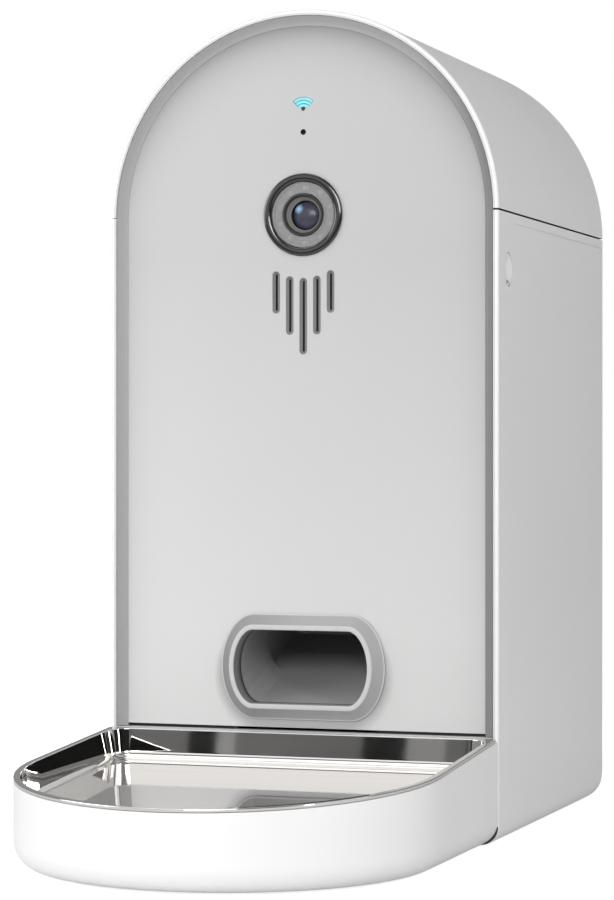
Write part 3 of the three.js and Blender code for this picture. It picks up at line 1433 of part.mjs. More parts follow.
// The feeder, piece by piece.
const pieces = [
  ["main_housing", mainHousing(), material.whitePlastic],
  ["panel_surround", panelSurround(), material.greyPlastic],
  ["front_panel", frontPanel(), material.satinPanel],
  ["outlet_ring", outletRing(), material.greyPlastic],
  ["lid_shell", lidShell(), material.whitePlastic],
  ["lid_liner", lidLiner(), material.whitePlastic],
  ["lid_seal", lidSeal(), material.sealRubber],
  ["desiccant_box", desiccantBox(), material.clearTank],
  ["desiccant_cap", desiccantCap(), material.whitePlastic],
  ["hopper", hopperBody(), material.clearTank],
  ["rotor_housing", rotorHousing(), material.whitePlastic],
  ["gearbox_plate", gearboxPlate(), material.darkPlastic],
  ["rotor", rotorPaddles(), material.rubber],
  ["rotor_shaft", rotorShaft(), material.steel],
  ["drive_gear", driveGear(), material.acetal],
  ["motor_pinion", motorPinion(), material.acetal],
  ["gear_motor", gearMotor(), material.steel],
  ["gearbox_cover", gearboxCover(), material.darkPlastic],
  ["chute_duct", chuteDuct(), material.greyPlastic],
  ["electronics_cover", electronicsCover(), material.darkPlastic],
  ["main_board", mainBoard(), material.board],
  ["camera_ring", cameraRing(), material.blackGloss],
  ["camera_window", cameraWindow(), material.smokedGlass],
  ["ir_led_board", irLedBoard(), material.whitePlastic],
  ["lens_barrel", lensBarrel(), material.darkPlastic],
  ["lens_glass", lensGlass(), material.lensGlass],
  ["camera_module", cameraModule(), material.board],
  ["speaker_mesh", speakerMesh(), material.darkPlastic],
  ["speaker_driver", speakerDriver(), material.darkPlastic],
  ["microphone_capsule", microphoneCapsule(), material.steel],
  ["signal_light_guide", signalLightGuide(), material.lightGuide],
  ["base_plate", basePlate(), material.darkPlastic],
  ["battery_box", batteryBox(), material.darkPlastic],
  ["battery_door", batteryDoor(), material.whitePlastic],
  ["power_board", powerBoard(), material.board],
  ["power_inlet", powerInlet(), material.darkPlastic],
  ["reset_button", resetButton(), material.greyPlastic],
  ["tray_shell", trayShell(), material.whitePlastic],
  ["steel_bowl", steelBowl(), material.steel],
];

const sides = { left: -1, right: 1 };
for (const [name, side] of Object.entries(sides)) {
  pieces.push([`hinge_pin_${name}`, hingePin(side), material.steel]);
  pieces.push([`release_button_${name}`, releaseButton(side), material.whitePlastic]);
  pieces.push([`latch_slider_${name}`, latchSlider(side), material.acetal]);
  pieces.push([`latch_spring_${name}`, latchSpring(side), material.steel]);
  pieces.push([`tray_foot_${name}`, trayFoot(side), material.rubber]);
}
screwPlaces().forEach((place, i) => pieces.push([`base_screw_${i + 1}`, baseScrew(place), material.steel]));
bodyFootPlaces().forEach((place, i) => pieces.push([`body_foot_${i + 1}`, bodyFoot(place), material.rubber]));
for (let i = 0; i < battery.cellCount; i++) {
  pieces.push([`battery_cell_${i + 1}`, batteryCell(i), material.cellJacket]);
}

const feeder = new THREE.Group();
feeder.name = "camera_pet_feeder";
for (const [name, solid, finish] of pieces) feeder.add(meshOf(name, solid, finish));

export default feeder;
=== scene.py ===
# %% [markdown]
# # A camera pet feeder
# The feeder is a white arched body with a lid, a grey front panel with a camera, a speaker and a food outlet, and a
# steel bowl in a tray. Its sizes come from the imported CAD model, which is loaded here as a fixed frame. What shows is
# then modelled again with fine edges and round forms, and what stays hidden keeps its CAD mesh and gets a material.

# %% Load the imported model
import json
import math

import bmesh
import bpy
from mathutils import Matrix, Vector


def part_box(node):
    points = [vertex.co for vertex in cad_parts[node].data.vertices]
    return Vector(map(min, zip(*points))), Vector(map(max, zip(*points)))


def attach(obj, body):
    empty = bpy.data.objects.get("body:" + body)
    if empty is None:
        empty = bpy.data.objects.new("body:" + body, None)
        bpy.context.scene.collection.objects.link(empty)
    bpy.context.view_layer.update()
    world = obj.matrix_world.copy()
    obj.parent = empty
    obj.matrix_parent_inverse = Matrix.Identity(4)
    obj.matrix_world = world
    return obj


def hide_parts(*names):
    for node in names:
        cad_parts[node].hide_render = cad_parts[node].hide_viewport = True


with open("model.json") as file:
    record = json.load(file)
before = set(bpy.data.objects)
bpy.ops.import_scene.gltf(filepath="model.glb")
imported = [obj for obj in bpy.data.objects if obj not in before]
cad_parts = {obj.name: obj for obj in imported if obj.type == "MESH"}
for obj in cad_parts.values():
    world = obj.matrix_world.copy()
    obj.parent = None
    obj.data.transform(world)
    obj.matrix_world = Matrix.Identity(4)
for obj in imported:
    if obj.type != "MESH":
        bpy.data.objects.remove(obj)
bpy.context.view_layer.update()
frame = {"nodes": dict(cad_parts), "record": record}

# %% [markdown]
# ## The sizes that everything follows
# A part looks right when its edges meet its neighbours, so places and outer sizes are read from the boxes of the CAD
# nodes. Small sizes that the eye sees, such as the radius of an edge, are given next to their piece. Two of
# them differ from the CAD: on the real object the panel reaches nearer to the edge, and the lip round it is narrower.

# %% Sizes read from the frame
X, Y, Z = range(3)
mm = 0.001
tiny = 0.01 * mm
clearance = 0.3 * mm
overrun = 1 * mm
aligned = 0.9


def spans_of(node, grow=0.0):
    """A node's box as three spans, along X, Y and Z."""
    low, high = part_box(node)
    return [(low[axis] - grow, high[axis] + grow) for axis in (X, Y, Z)]


def middle_of(node, *axes):
    low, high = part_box(node)
    return tuple((low[axis] + high[axis]) / 2 for axis in axes)


def half_of(node, axis):
    low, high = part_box(node)
    return (high[axis] - low[axis]) / 2


def across(half, middle=0.0):
    return middle - half, middle + half


lid_low, lid_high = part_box("lid_shell")
panel_low, panel_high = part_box("front_panel")
surround_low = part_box("panel_surround")[0]
ring_low, ring_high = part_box("outlet_ring")

half_width = lid_high.x
seam = lid_high.z - half_width
seam_gap = 0.8 * mm
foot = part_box("main_housing")[0].z
front = lid_low.y
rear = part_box("battery_door")[1].y
panel_face, panel_back = panel_low.y, panel_high.y
bulkhead_back = ring_high.y
lid_wall = 2.3 * mm
frame_radius = half_width - 2.7 * mm
lip_inset = lid_wall + 0.03 * mm
face_edge = half_width - 6.6 * mm
print("body", round(2 * half_width / mm, 1), "x", round((rear - front) / mm, 1), "mm, seam at", round(seam / mm, 1))

# %% [markdown]
# ## Shaping tools
# Every piece is shaped as by hand: a primitive is added, its faces, edges or corners are picked by their place, and an
# edit-mode operator works on what is picked. These helpers only spare the repeated steps of entering edit mode,
# picking and leaving again, so that the steps which make the shape stand out.


# %% Helpers for picking and shaping
def deselect_all():
    """Back to object mode with nothing selected, because an operator acts on all that is selected."""
    if bpy.context.mode != "OBJECT":
        bpy.ops.object.mode_set(mode="OBJECT")
    bpy.ops.object.select_all(action="DESELECT")


def work_on(*pieces):
    deselect_all()
    for piece in pieces:
        piece.select_set(True)
    bpy.context.view_layer.objects.active = pieces[0]


def settle(name):
    """Names the new primitive and puts its place, turn and size into its mesh."""
    piece = bpy.context.object
    piece.name = piece.data.name = name
    bpy.ops.object.transform_apply(location=True, rotation=True, scale=True)
    return piece


def edit(piece):
    work_on(piece)
    bpy.ops.object.mode_set(mode="EDIT")
    bpy.ops.mesh.select_all(action="DESELECT")


def pick(piece, kind, wanted):
    """Selects the corners, edges or faces whose middle, and direction or normal, pass the test."""
    bpy.ops.mesh.select_all(action="DESELECT")
    bpy.ops.mesh.select_mode(type=kind)
    mesh = bmesh.from_edit_mesh(piece.data)
    for part in {"VERT": mesh.verts, "EDGE": mesh.edges, "FACE": mesh.faces}[kind]:
        if kind == "VERT":
            chosen = wanted(part.co, None)
        elif kind == "EDGE":
            start, stop = (corner.co for corner in part.verts)
            chosen = wanted((start + stop) / 2, (stop - start).normalized())
        else:
            chosen = wanted(part.calc_center_median(), part.normal)
        if chosen:
            part.select_set(True)
    mesh.select_flush_mode()
    bmesh.update_edit_mesh(piece.data)


def along(axis):
    """A test for pick: edges along an axis, or faces that look along it."""
    return lambda middle, way: abs(way[axis]) > aligned


def up_to(axis, limit):
    """Tests for pick by place: up to a limit, short of it, from it on, and past it."""
    return lambda middle, _: middle[axis] < limit + tiny


def short_of(axis, limit):
    return lambda middle, _: middle[axis] < limit - tiny


def from_on(axis, limit):
    return lambda middle, _: middle[axis] > limit - tiny


def past(axis, limit):
    return lambda middle, _: middle[axis] > limit + tiny


def both(first, second):
    return lambda middle, way: first(middle, way) and second(middle, way)


def pick_all(kind=None):
    if kind:
        bpy.ops.mesh.select_mode(type=kind)
    bpy.ops.mesh.select_all(action="SELECT")


def face_out():
    """Turns all faces outwards and leaves them picked."""
    pick_all()
    bpy.ops.mesh.normals_make_consistent(inside=False)


def push(x=0.0, y=0.0, z=0.0):
    """Extrudes what is picked and moves it."""
    bpy.ops.mesh.extrude_region_move(TRANSFORM_OT_translate={"value": (x, y, z)})


def push_edges(x=0.0, y=0.0, z=0.0):
    bpy.ops.mesh.extrude_edges_move(TRANSFORM_OT_translate={"value": (x, y, z)})


def resize(value, centre):
    bpy.ops.transform.resize(value=value, center_override=centre)


def inset(*rows):
    """Insets the picked faces again and again, each row by (inwards, outwards)."""
    for inwards, outwards in rows:
        bpy.ops.mesh.inset(thickness=inwards, depth=outwards)


def soften(width, segments=3):
    bpy.ops.mesh.bevel(offset=width, segments=segments, profile=0.5, clamp_overlap=False)


def round_edges(piece, *rounds):
    """Softens some edges after others. Each round is (test, width, segments)."""
    edit(piece)
    for wanted, width, segments in rounds:
        pick(piece, "EDGE", wanted)
        soften(width, segments)
    deselect_all()
    return piece


def clean(piece, angle=35):
    """Merges doubles, turns the faces outwards and shades smooth up to an angle."""
    edit(piece)
    pick_all()
    bpy.ops.mesh.remove_doubles(threshold=tiny / 4)
    face_out()
    work_on(piece)
    bpy.ops.object.shade_smooth_by_angle(angle=math.radians(angle))
    return piece


def apply_modifier(piece, kind, **values):
    work_on(piece)
    modifier = piece.modifiers.new(kind.lower(), kind)
    for key, value in values.items():
        setattr(modifier, key, value)
    bpy.ops.object.modifier_apply(modifier=modifier.name)


def combine(piece, tool, operation):
    """Joins the tool to the piece, or cuts the piece with it, and clears the tool away."""
    apply_modifier(piece, "BOOLEAN", operation=operation, object=tool, solver="MANIFOLD")
    bpy.data.objects.remove(tool, do_unlink=True)


def cut(piece, *tools):
    for tool in tools:
        combine(piece, tool, "DIFFERENCE")


def join(piece, *tools):
    for tool in tools:
        combine(piece, tool, "UNION")


def one_of(*pieces):
    """Several meshes as one object, with the first one's name."""
    work_on(*pieces)
    bpy.ops.object.join()
    return bpy.context.object


def box(name, x, y, z, edge=0.0):
    """A block between two places along each axis, with its edges softened."""
    deselect_all()
    middle = [(span[0] + span[1]) / 2 for span in (x, y, z)]
    sides = [abs(span[1] - span[0]) for span in (x, y, z)]
    bpy.ops.mesh.primitive_cube_add(size=1, location=middle, scale=sides)
    piece = settle(name)
    if edge:
        edit(piece)
        pick_all()
        soften(edge)
        deselect_all()
    return piece


def rod(name, radius, start, stop, centre, axis="Z", edge=0.0, steps=64):
    """A round bar along an axis, with its end edges softened. centre is its place on the other two axes."""
    deselect_all()
    middle = (start + stop) / 2
    spot = {"X": (middle, *centre), "Y": (centre[0], middle, centre[1]), "Z": (*centre, middle)}[axis]
    turn = {"X": (0, math.pi / 2, 0), "Y": (math.pi / 2, 0, 0), "Z": (0, 0, 0)}[axis]
    bpy.ops.mesh.primitive_cylinder_add(
        vertices=steps, radius=radius, depth=abs(stop - start), location=spot, rotation=turn
    )
    piece = settle(name)
    if edge:
        round_edges(piece, (lambda middle, way: abs(way["XYZ".index(axis)]) < 0.5, edge, 3))
    return piece


def turned(name, profile, centre, steps=96, hollow=False):
    """A round piece about an axis along Y: a ring of corners that is extruded, moved and widened step by step.
    profile lists (radius, place along Y). A hollow one is closed on itself, a solid one at both ends."""
    deselect_all()
    radius, y_now = profile[0]
    bpy.ops.mesh.primitive_circle_add(
        vertices=steps, radius=radius, location=(centre[0], y_now, centre[1]), rotation=(math.pi / 2, 0, 0),
        fill_type="NOTHING" if hollow else "NGON",
    )
    piece = settle(name)
    edit(piece)
    pick_all("EDGE")
    if not hollow:
        # The first cap stays behind: only the ring of edges is extruded.
        bpy.ops.mesh.region_to_loop()
    for next_radius, y_next in profile[1:]:
        push_edges(y=y_next - y_now)
        scale = next_radius / radius
        resize((scale, 1, scale), (centre[0], y_next, centre[1]))
        radius, y_now = next_radius, y_next
    if not hollow:
        bpy.ops.mesh.edge_face_add()
    deselect_all()
    return clean(piece)


# %% [markdown]
# ## Riding and naming
# Each finished piece moves with one body of the CAD model, takes a material slot of the record and stands for one or
# more CAD nodes. One call says all three, so that no piece is forgotten.


# %% Put a finished piece in its place
materials = {}


def count(piece, state):
    print(piece.name, state, "with", len(piece.data.polygons), "faces")


def place(piece, body, slot, *nodes):
    # Large faces decide the shading of the corners they share with narrow ones, so flats stay flat.
    apply_modifier(piece, "WEIGHTED_NORMAL", keep_sharp=True, weight=50)
    piece.data.materials.clear()
    piece.data.materials.append(materials[slot])
    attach(piece, body)
    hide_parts(*nodes)
    count(piece, "on " + body)


def paint(piece, finish_name, wanted):
    """Gives the faces that pass the test a finish of their own."""
    piece.data.materials.append(materials[finish_name])
    edit(piece)
    pick(piece, "FACE", wanted)
    piece.active_material_index = len(piece.data.materials) - 1
    bpy.ops.object.material_slot_assign()
    deselect_all()


# %% [markdown]
# ## Shared effects
# Three effects come back in many finishes. Moulded plastic has a fine grain from its tool, every handled surface has
# faint marks that change its gloss, and drawn or polished metal has fine lines along one way. Each is a node group
# that gives out masks and heights only, and each material places it with its own values.


# %% Node helpers, and groups for grain, handling marks and drawn lines
def add_node(tree, kind, inputs, output=0, **settings):
    """A new node with its settings, each input a value or a link. Gives its output."""
    node = tree.nodes.new("ShaderNode" + kind)
    for key, value in settings.items():
        setattr(node, key, value)
    for label, value in inputs.items():
        if isinstance(value, bpy.types.NodeSocket):
            tree.links.new(value, node.inputs[label])
        else:
            node.inputs[label].default_value = value
    return node.outputs[output]


def math_node(tree, operation, *values, clamp=False):
    return add_node(tree, "Math", dict(enumerate(values)), operation=operation, use_clamp=clamp)


def spread(tree, value, low, high, out_low=0.0, out_high=1.0):
    inputs = {"Value": value, "From Min": low, "From Max": high, "To Min": out_low, "To Max": out_high}
    return add_node(tree, "MapRange", inputs, "Result")


def noise(tree, vector, scale, detail=2.0, roughness=0.5):
    inputs = {"Vector": vector, "Scale": scale, "Detail": detail, "Roughness": roughness}
    return add_node(tree, "TexNoise", inputs, "Fac")


def stretched(tree, vector, scale):
    return add_node(tree, "Mapping", {"Vector": vector, "Scale": scale}, "Vector")


def mixed(tree, factor, first, second, blend="MIX"):
    inputs = {"Factor": factor, "A": first, "B": second}
    return add_node(tree, "Mix", inputs, "Result", data_type="RGBA", blend_type=blend)


def group_of(name, outputs, **numbers):
    """A node group with a vector input, some number inputs and number outputs."""
    group = bpy.data.node_groups.new(name, "ShaderNodeTree")
    group.interface.new_socket("Vector", in_out="INPUT", socket_type="NodeSocketVector")
    for label, value in numbers.items():
        group.interface.new_socket(label, in_out="INPUT", socket_type="NodeSocketFloat").default_value = value
    for label in outputs:
        group.interface.new_socket(label, in_out="OUTPUT", socket_type="NodeSocketFloat")
    return group, group.nodes.new("NodeGroupInput").outputs, group.nodes.new("NodeGroupOutput").inputs


# The tool's grain: small soft pits, and a slower change of shade.
common_grain = 2200.0
grain, grain_in, grain_out = group_of("moulded_grain", ("Height", "Shade"), Scale=common_grain)
grain.links.new(noise(grain, grain_in["Vector"], grain_in["Scale"], 3.0, 0.6), grain_out["Height"])
grain.links.new(spread(grain, noise(grain, grain_in["Vector"], 9.0), 0.3, 0.7), grain_out["Shade"])

# Handling marks: wide faint patches with finer ones inside them.
marks, marks_in, marks_out = group_of("handling_marks", ("Mask",))
patches = spread(marks, noise(marks, marks_in["Vector"], 22.0, 3.0), 0.45, 0.75)
wipes = spread(marks, noise(marks, marks_in["Vector"], 160.0, 4.0, 0.7), 0.4, 0.7)
marks.links.new(math_node(marks, "MULTIPLY", patches, wipes, clamp=True), marks_out["Mask"])

# Drawn lines: noise stretched along X.
lines, lines_in, lines_out = group_of("drawn_lines", ("Height", "Shade"))
thin = stretched(lines, lines_in["Vector"], (30.0, 2600.0, 2600.0))
wide = stretched(lines, lines_in["Vector"], (8.0, 420.0, 420.0))
lines.links.new(noise(lines, thin, 1.0), lines_out["Height"])
lines.links.new(spread(lines, noise(lines, wide, 1.0), 0.3, 0.7), lines_out["Shade"])
print("node groups:", [group.name for group in bpy.data.node_groups])

# %% [markdown]
# ## Painted shades that follow the form
# Some shade and shadow is painted into the colour, by the place on the part. As painted shade, the panel grows darker
# towards its arched edge, most at the top, where the frame stands over it, and darker upwards and towards the right; a
# painted soft shadow lies round the outlet. Slots and grooves are painted darker the deeper they go, and the surround
# and the outlet's ring are painted darker on the side that is turned away from the light. Each painted shade
# multiplies the tone, so that several can lie over each other.


# %% Helpers for painted shades that follow the form
def part_of(tree, vector, axis_name):
    return add_node(tree, "SeparateXYZ", {"Vector": vector}, axis_name)


def length_of(tree, aside, above):
    squares = [math_node(tree, "MULTIPLY", value, value) for value in (aside, above)]
    return math_node(tree, "SQRT", math_node(tree, "ADD", *squares))


def arch_distance(tree, coords):
    """0 in the middle of the panel, 1 at the top of the arch, less along the straight sides."""
    above = math_node(tree, "MAXIMUM", math_node(tree, "SUBTRACT", part_of(tree, coords, "Z"), seam), 0.0)
    radius = length_of(tree, part_of(tree, coords, "X"), above)
    outwards = math_node(tree, "POWER", spread(tree, radius, 35 * mm, face_edge), 5.0)
    upwards = spread(tree, above, 0.0, face_edge, 0.2, 1.0)
    return math_node(tree, "MULTIPLY", outwards, upwards, clamp=True)


def oval_distance(tree, coords, centre, pull):
    """Distance, seen from the front, from a level line of half length pull."""
    aside = math_node(tree, "ABSOLUTE", math_node(tree, "SUBTRACT", part_of(tree, coords, "X"), centre[0]))
    beyond = math_node(tree, "MAXIMUM", math_node(tree, "SUBTRACT", aside, pull), 0.0)
    return length_of(tree, beyond, math_node(tree, "SUBTRACT", part_of(tree, coords, "Z"), centre[1]))


# %% [markdown]
# ## Finishes
# A plastic finish is a Principled shader whose colour drifts a little with the grain's slow shade, whose roughness
# rises where hands have left marks, and whose surface carries the grain as a shallow bump. The same recipe with
# other values makes satin paint, rubber and lens plastic, so one function builds them all.


# %% The recipe for a finish
def opaque(colour):
    """A colour, or one number for a grey, with its alpha."""
    return (colour,) * 3 + (1,) if isinstance(colour, float) else (*colour, 1)


def finish(slot, colour, roughness, *, drift=0.04, marks_gain=0.08, grain_scale=common_grain, bump=0.06, lined=False,
           shades=(), ovals=(), rim=0.0, extra=()):
    """The shade list holds painted shades as (axis, start, stop, kept share), and the oval list painted shadows and
    highlights as (centre, half length, inner, outer, colour). rim is the share lost at the arch's edge as painted
    shade, and extra holds the shader's other values."""
    material = materials[slot] = bpy.data.materials.new(slot)
    material.use_nodes = True
    tree = material.node_tree
    shader = tree.nodes["Principled BSDF"]
    coords = tree.nodes.new("ShaderNodeTexCoord").outputs["Object"]
    texture, smudge = (tree.nodes.new("ShaderNodeGroup") for _ in range(2))
    texture.node_tree = lines if lined else grain
    smudge.node_tree = marks
    for group in (texture, smudge):
        tree.links.new(coords, group.inputs["Vector"])
    if not lined:
        texture.inputs["Scale"].default_value = grain_scale

    full = opaque(colour)
    tone = mixed(tree, texture.outputs["Shade"], (*[channel * (1 - drift) for channel in full[:3]], 1), full)
    # Painted light: rim, the shade list and the oval list darken or lighten the colour by place.
    if rim:
        tone = mixed(tree, arch_distance(tree, coords), tone, opaque(1 - rim), "MULTIPLY")
    for axis_name, start, stop, kept in shades:
        share = spread(tree, part_of(tree, coords, axis_name), start, stop)
        tone = mixed(tree, share, tone, opaque(kept), "MULTIPLY")
    for centre, pull, inner, outer, patch in ovals:
        tone = mixed(tree, spread(tree, oval_distance(tree, coords, centre, pull), outer, inner), tone, opaque(patch))
    tree.links.new(tone, shader.inputs["Base Color"])
    rough = spread(tree, smudge.outputs["Mask"], 0.0, 1.0, roughness, min(roughness + marks_gain, 1.0))
    tree.links.new(rough, shader.inputs["Roughness"])
    if bump:
        relief = {"Strength": bump, "Distance": 0.05 * mm, "Height": texture.outputs["Height"]}
        tree.links.new(add_node(tree, "Bump", relief, "Normal"), shader.inputs["Normal"])
    for label, value in {"IOR": 1.46, "Coat Roughness": 0.1, **dict(extra)}.items():
        shader.inputs[label].default_value = value


def soft_body(weight):
    return {"Subsurface Weight": weight, "Subsurface Radius": (1, 1, 1), "Subsurface Scale": 1.5 * mm}


# %% [markdown]
# ## What this feeder is made of
# White gloss plastic for the shells, a satin grey panel, glossy black and glass for the camera, polished steel for
# the bowl, and rubber, clear plastic, board and cell for what lies inside. The values were found by comparing renders
# with the photograph under the lights below.

# %% The finishes of this feeder
finish("white_shell", 0.80, 0.34, drift=0.015, bump=0.05)
# Painted shade: the flat front lip is the white shell's plastic painted darker, and darker still low down, as painted
# shadow behind the tray's shoulder.
finish("lip_painted_shade", 0.58, 0.4, drift=0.015, bump=0.05, shades=[("Z", 16 * mm, 12 * mm, 0.1)])
# Painted shade on the panel: darker upwards, darker towards the right, and darker inside its slots and holes the deeper
# they go.
panel_shades = [
    ("Z", 90 * mm, 250 * mm, 0.80),
    ("X", -face_edge, face_edge, 0.90),
    ("Y", panel_face + 0.02 * mm, panel_face + 0.25 * mm, 0.36),
    ("Y", panel_face + 0.8 * mm, panel_face + 1.1 * mm, 0.1),
]
# A painted soft shadow on the panel, below the outlet's ring.
outlet_radius = (ring_high.z - ring_low.z) / 2
shadow_place = (0, ring_low.z + outlet_radius - 4.5 * mm)
outlet_shadow = (shadow_place, ring_high.x - outlet_radius, outlet_radius - 1 * mm, outlet_radius + 4 * mm, 0.38)
# rim darkens the panel towards its arched edge as painted shade.
finish(
    "satin_panel", 0.615, 0.6, drift=0.02, bump=0.08, grain_scale=3200.0, shades=panel_shades, ovals=[outlet_shadow],
    rim=0.5,
)
trim_grey = (0.34, 0.34, 0.342)
finish("grey_trim", trim_grey, 0.5, drift=0.03, bump=0.08)
# The surround's grey, painted darker towards the right as painted shade.
finish("surround_grey_painted_shade", (0.35, 0.35, 0.352), 0.5, drift=0.03, bump=0.08, shades=[("X", 50 * mm, 81 * mm, 0.54)])
# The outlet ring's grey, painted darker on its left side and down its tube the deeper it goes, as painted shade.
outlet_shades = [("X", 0.0, ring_low.x, 0.65), ("Y", panel_face, bulkhead_back, 0.08)]
finish("outlet_grey_painted_shade", trim_grey, 0.5, drift=0.03, bump=0.08, shades=outlet_shades)
# Painted highlight: the outlet ring's lip and outer edge are painted lighter than its grey.
finish("outlet_lip_painted_highlight", 0.52, 0.4, drift=0.03, bump=0.05)
high_gloss = {"Coat Weight": 0.6, "Coat Roughness": 0.04}
finish("black_gloss", (0.014, 0.014, 0.015), 0.12, drift=0.2, bump=0.0, extra=high_gloss)
finish("dark_plastic", (0.022, 0.022, 0.024), 0.5, drift=0.2, bump=0.25, grain_scale=1500.0)
finish("smoked_glass", 0.36, 0.12, drift=0.05, bump=0.0, extra={"Alpha": 0.45})
# A painted bluish highlight on the upper left of the lens.
painted_lens_highlight = ((-3.4 * mm, seam + 3.0 * mm), 0.0, 0.3 * mm, 2.4 * mm, (0.40, 0.66, 1.0))
lens_coat = {"Coat Weight": 0.15, "IOR": 1.3}
finish("lens_glass", (0.055, 0.058, 0.085), 0.25, drift=0.2, bump=0.0, ovals=[painted_lens_highlight], extra=lens_coat)
guide_low, guide_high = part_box("signal_light_guide")
# Painted shade: the guide's grooves are darker the deeper they go.
groove_shade = ("Y", guide_low.y + 0.05 * mm, guide_low.y + 0.2 * mm, 0.25)
cyan_glow = {"Emission Color": (0.12, 0.80, 0.95, 1), "Emission Strength": 0.16}
finish("light_guide", (0.22, 0.62, 0.68), 0.3, drift=0.05, bump=0.0, shades=[groove_shade], extra=cyan_glow)
finish("hood_cone", (0.22, 0.22, 0.20), 0.35, drift=0.1, bump=0.1, extra={"Coat Weight": 0.3})
finish("led_dome", (0.85, 0.85, 0.86), 0.2, drift=0.03, bump=0.0, extra={"Coat Weight": 0.5})
steel_body = {"Metallic": 1.0}
finish("bowl_steel", (0.72, 0.705, 0.69), 0.03, drift=0.03, marks_gain=0.04, lined=True, bump=0.006, extra=steel_body)
finish("plain_steel", (0.55, 0.55, 0.56), 0.28, drift=0.08, lined=True, bump=0.15, extra=steel_body)
finish("foot_rubber", (0.03, 0.03, 0.032), 0.85, drift=0.2, bump=0.4, grain_scale=900.0)
rubber = dict(drift=0.06, bump=0.3, grain_scale=1200.0, extra=soft_body(0.1))
finish("seal_rubber", (0.42, 0.43, 0.44), 0.7, **rubber)
finish("vane_rubber", (0.52, 0.50, 0.45), 0.6, **rubber)
finish("clear_tank", (0.74, 0.76, 0.77), 0.3, drift=0.02, bump=0.05, extra=soft_body(0.25))
finish("acetal", (0.76, 0.74, 0.68), 0.45, bump=0.15, extra=soft_body(0.1))
board_coat = {"Coat Weight": 0.3}
finish("circuit_board", (0.012, 0.09, 0.045), 0.4, drift=0.3, bump=0.2, grain_scale=700.0, extra=board_coat)
finish("cell_jacket", (0.045, 0.06, 0.085), 0.35, drift=0.1, bump=0.05, extra={"Metallic": 0.4})
print(len(materials), "finishes")

# %% [markdown]
# ## Hidden pieces keep their CAD mesh
# The motor, the gears, the boards and the cells sit behind walls. Their CAD solids are right as they are, so each
# one only gets the material of its slot. The pieces that show are replaced further on, one by one.

# %% Give every CAD node its finish
slot_of = {row["node"]: row["material_slot"] for row in frame["record"]["subparts"]}
for name, node in frame["nodes"].items():
    node.data.materials.clear()
    node.data.materials.append(materials[slot_of[name]])
print(len(slot_of), "CAD nodes have a finish")

# %% [markdown]
# ## Soft edges under the lid
# With the lid open the tank, the liner, the seal and the drying box can be seen. Moulded plastic has no sharp
# edges, so these solids get a small round by modifiers, and their meshes stay as they came.

# %% Round the edges of the pieces under the lid
for name in ("hopper", "lid_liner", "lid_seal", "desiccant_box", "desiccant_cap"):
    node = frame["nodes"][name]
    node.modifiers.new("weld", "WELD").merge_threshold = tiny / 10
    bevel = node.modifiers.new("round", "BEVEL")
    bevel.width = 0.5 * mm
    bevel.segments = 3
    bevel.limit_method = "ANGLE"
    bevel.angle_limit = math.radians(40)
    node.modifiers.new("shading", "WEIGHTED_NORMAL")
    print(name, "has rounded edges")

# %% [markdown]
# ## The arch
# The lid, the front frame, the panel and its surround all have one outline: a half circle on two straight legs. It
# is made once as a block. A circle loses its lower half, its two ends are extruded down as legs, and the closed
# outline is filled and extruded along Y. The tray and the bowl start from the same outline, lying down.


# %% A block with the arched outline
round_steps = 128


def half_ring(name, radius, centre, axis, leg):
    """Half a circle with two legs, as a line of edges: legs along -Z for the arch, along Y for the tray."""
    deselect_all()
    turn, way = ((math.pi / 2, 0, 0), -1) if axis == Z else ((0, 0, 0), 1)
    bpy.ops.mesh.primitive_circle_add(vertices=round_steps, radius=radius, location=centre, rotation=turn)
    piece = settle(name)
    edit(piece)
    pick(piece, "VERT", lambda corner, _: way * (corner[axis] - centre[axis]) > tiny)
    bpy.ops.mesh.delete(type="VERT")
    pick(piece, "VERT", lambda corner, _: way * (corner[axis] - centre[axis]) > -tiny)
    stretch = [way * leg if index == axis else 0 for index in (X, Y, Z)]
    bpy.ops.mesh.extrude_vertices_move(TRANSFORM_OT_translate={"value": stretch})
    return piece


def arch_block(name, radius, low, y_front, y_back):
    piece = half_ring(name, radius, (0, y_front, seam), Z, seam - low)
    pick(piece, "VERT", up_to(Z, low))
    bpy.ops.mesh.edge_face_add()
    pick_all()
    bpy.ops.mesh.edge_face_add()
    push(y=y_back - y_front)
    face_out()
    deselect_all()
    return piece


def slice_off(point, normal, side="clear_outer"):
    """Cuts the piece in edit mode along a plane and takes one side away."""
    pick_all()
    bpy.ops.mesh.bisect(plane_co=point, plane_no=normal, use_fill=True, threshold=tiny, **{side: True})
    deselect_all()


def cut_below(piece, height):
    edit(piece)
    slice_off((0, 0, height), (0, 0, 1), "clear_inner")


# %% [markdown]
# ## Main housing
# The lower body is one moulding with straight sides, softly rounded under and behind, and open at the top. A block
# gets the rounds of its front outline, and the part it shares with a second block, whose rear lower edge is widely
# rounded, is kept. It is then hollowed, and the arched frame that carries the panel is joined on and opened.

# %% Main housing
bottom_round = 8 * mm
rear_corner = 22 * mm
front_round = 1.4 * mm
rear_round = 3 * mm
frame_round = 0.5 * mm
frame_foot = seam - 12 * mm
housing_top = seam - seam_gap / 2
wall = 2.5 * mm
rear_wall = 4 * mm
floor_top = foot + 5 * mm
face_top = surround_low.z - clearance
bulkhead_front = bulkhead_back - 2.5 * mm
inner_rear = rear - rear_wall

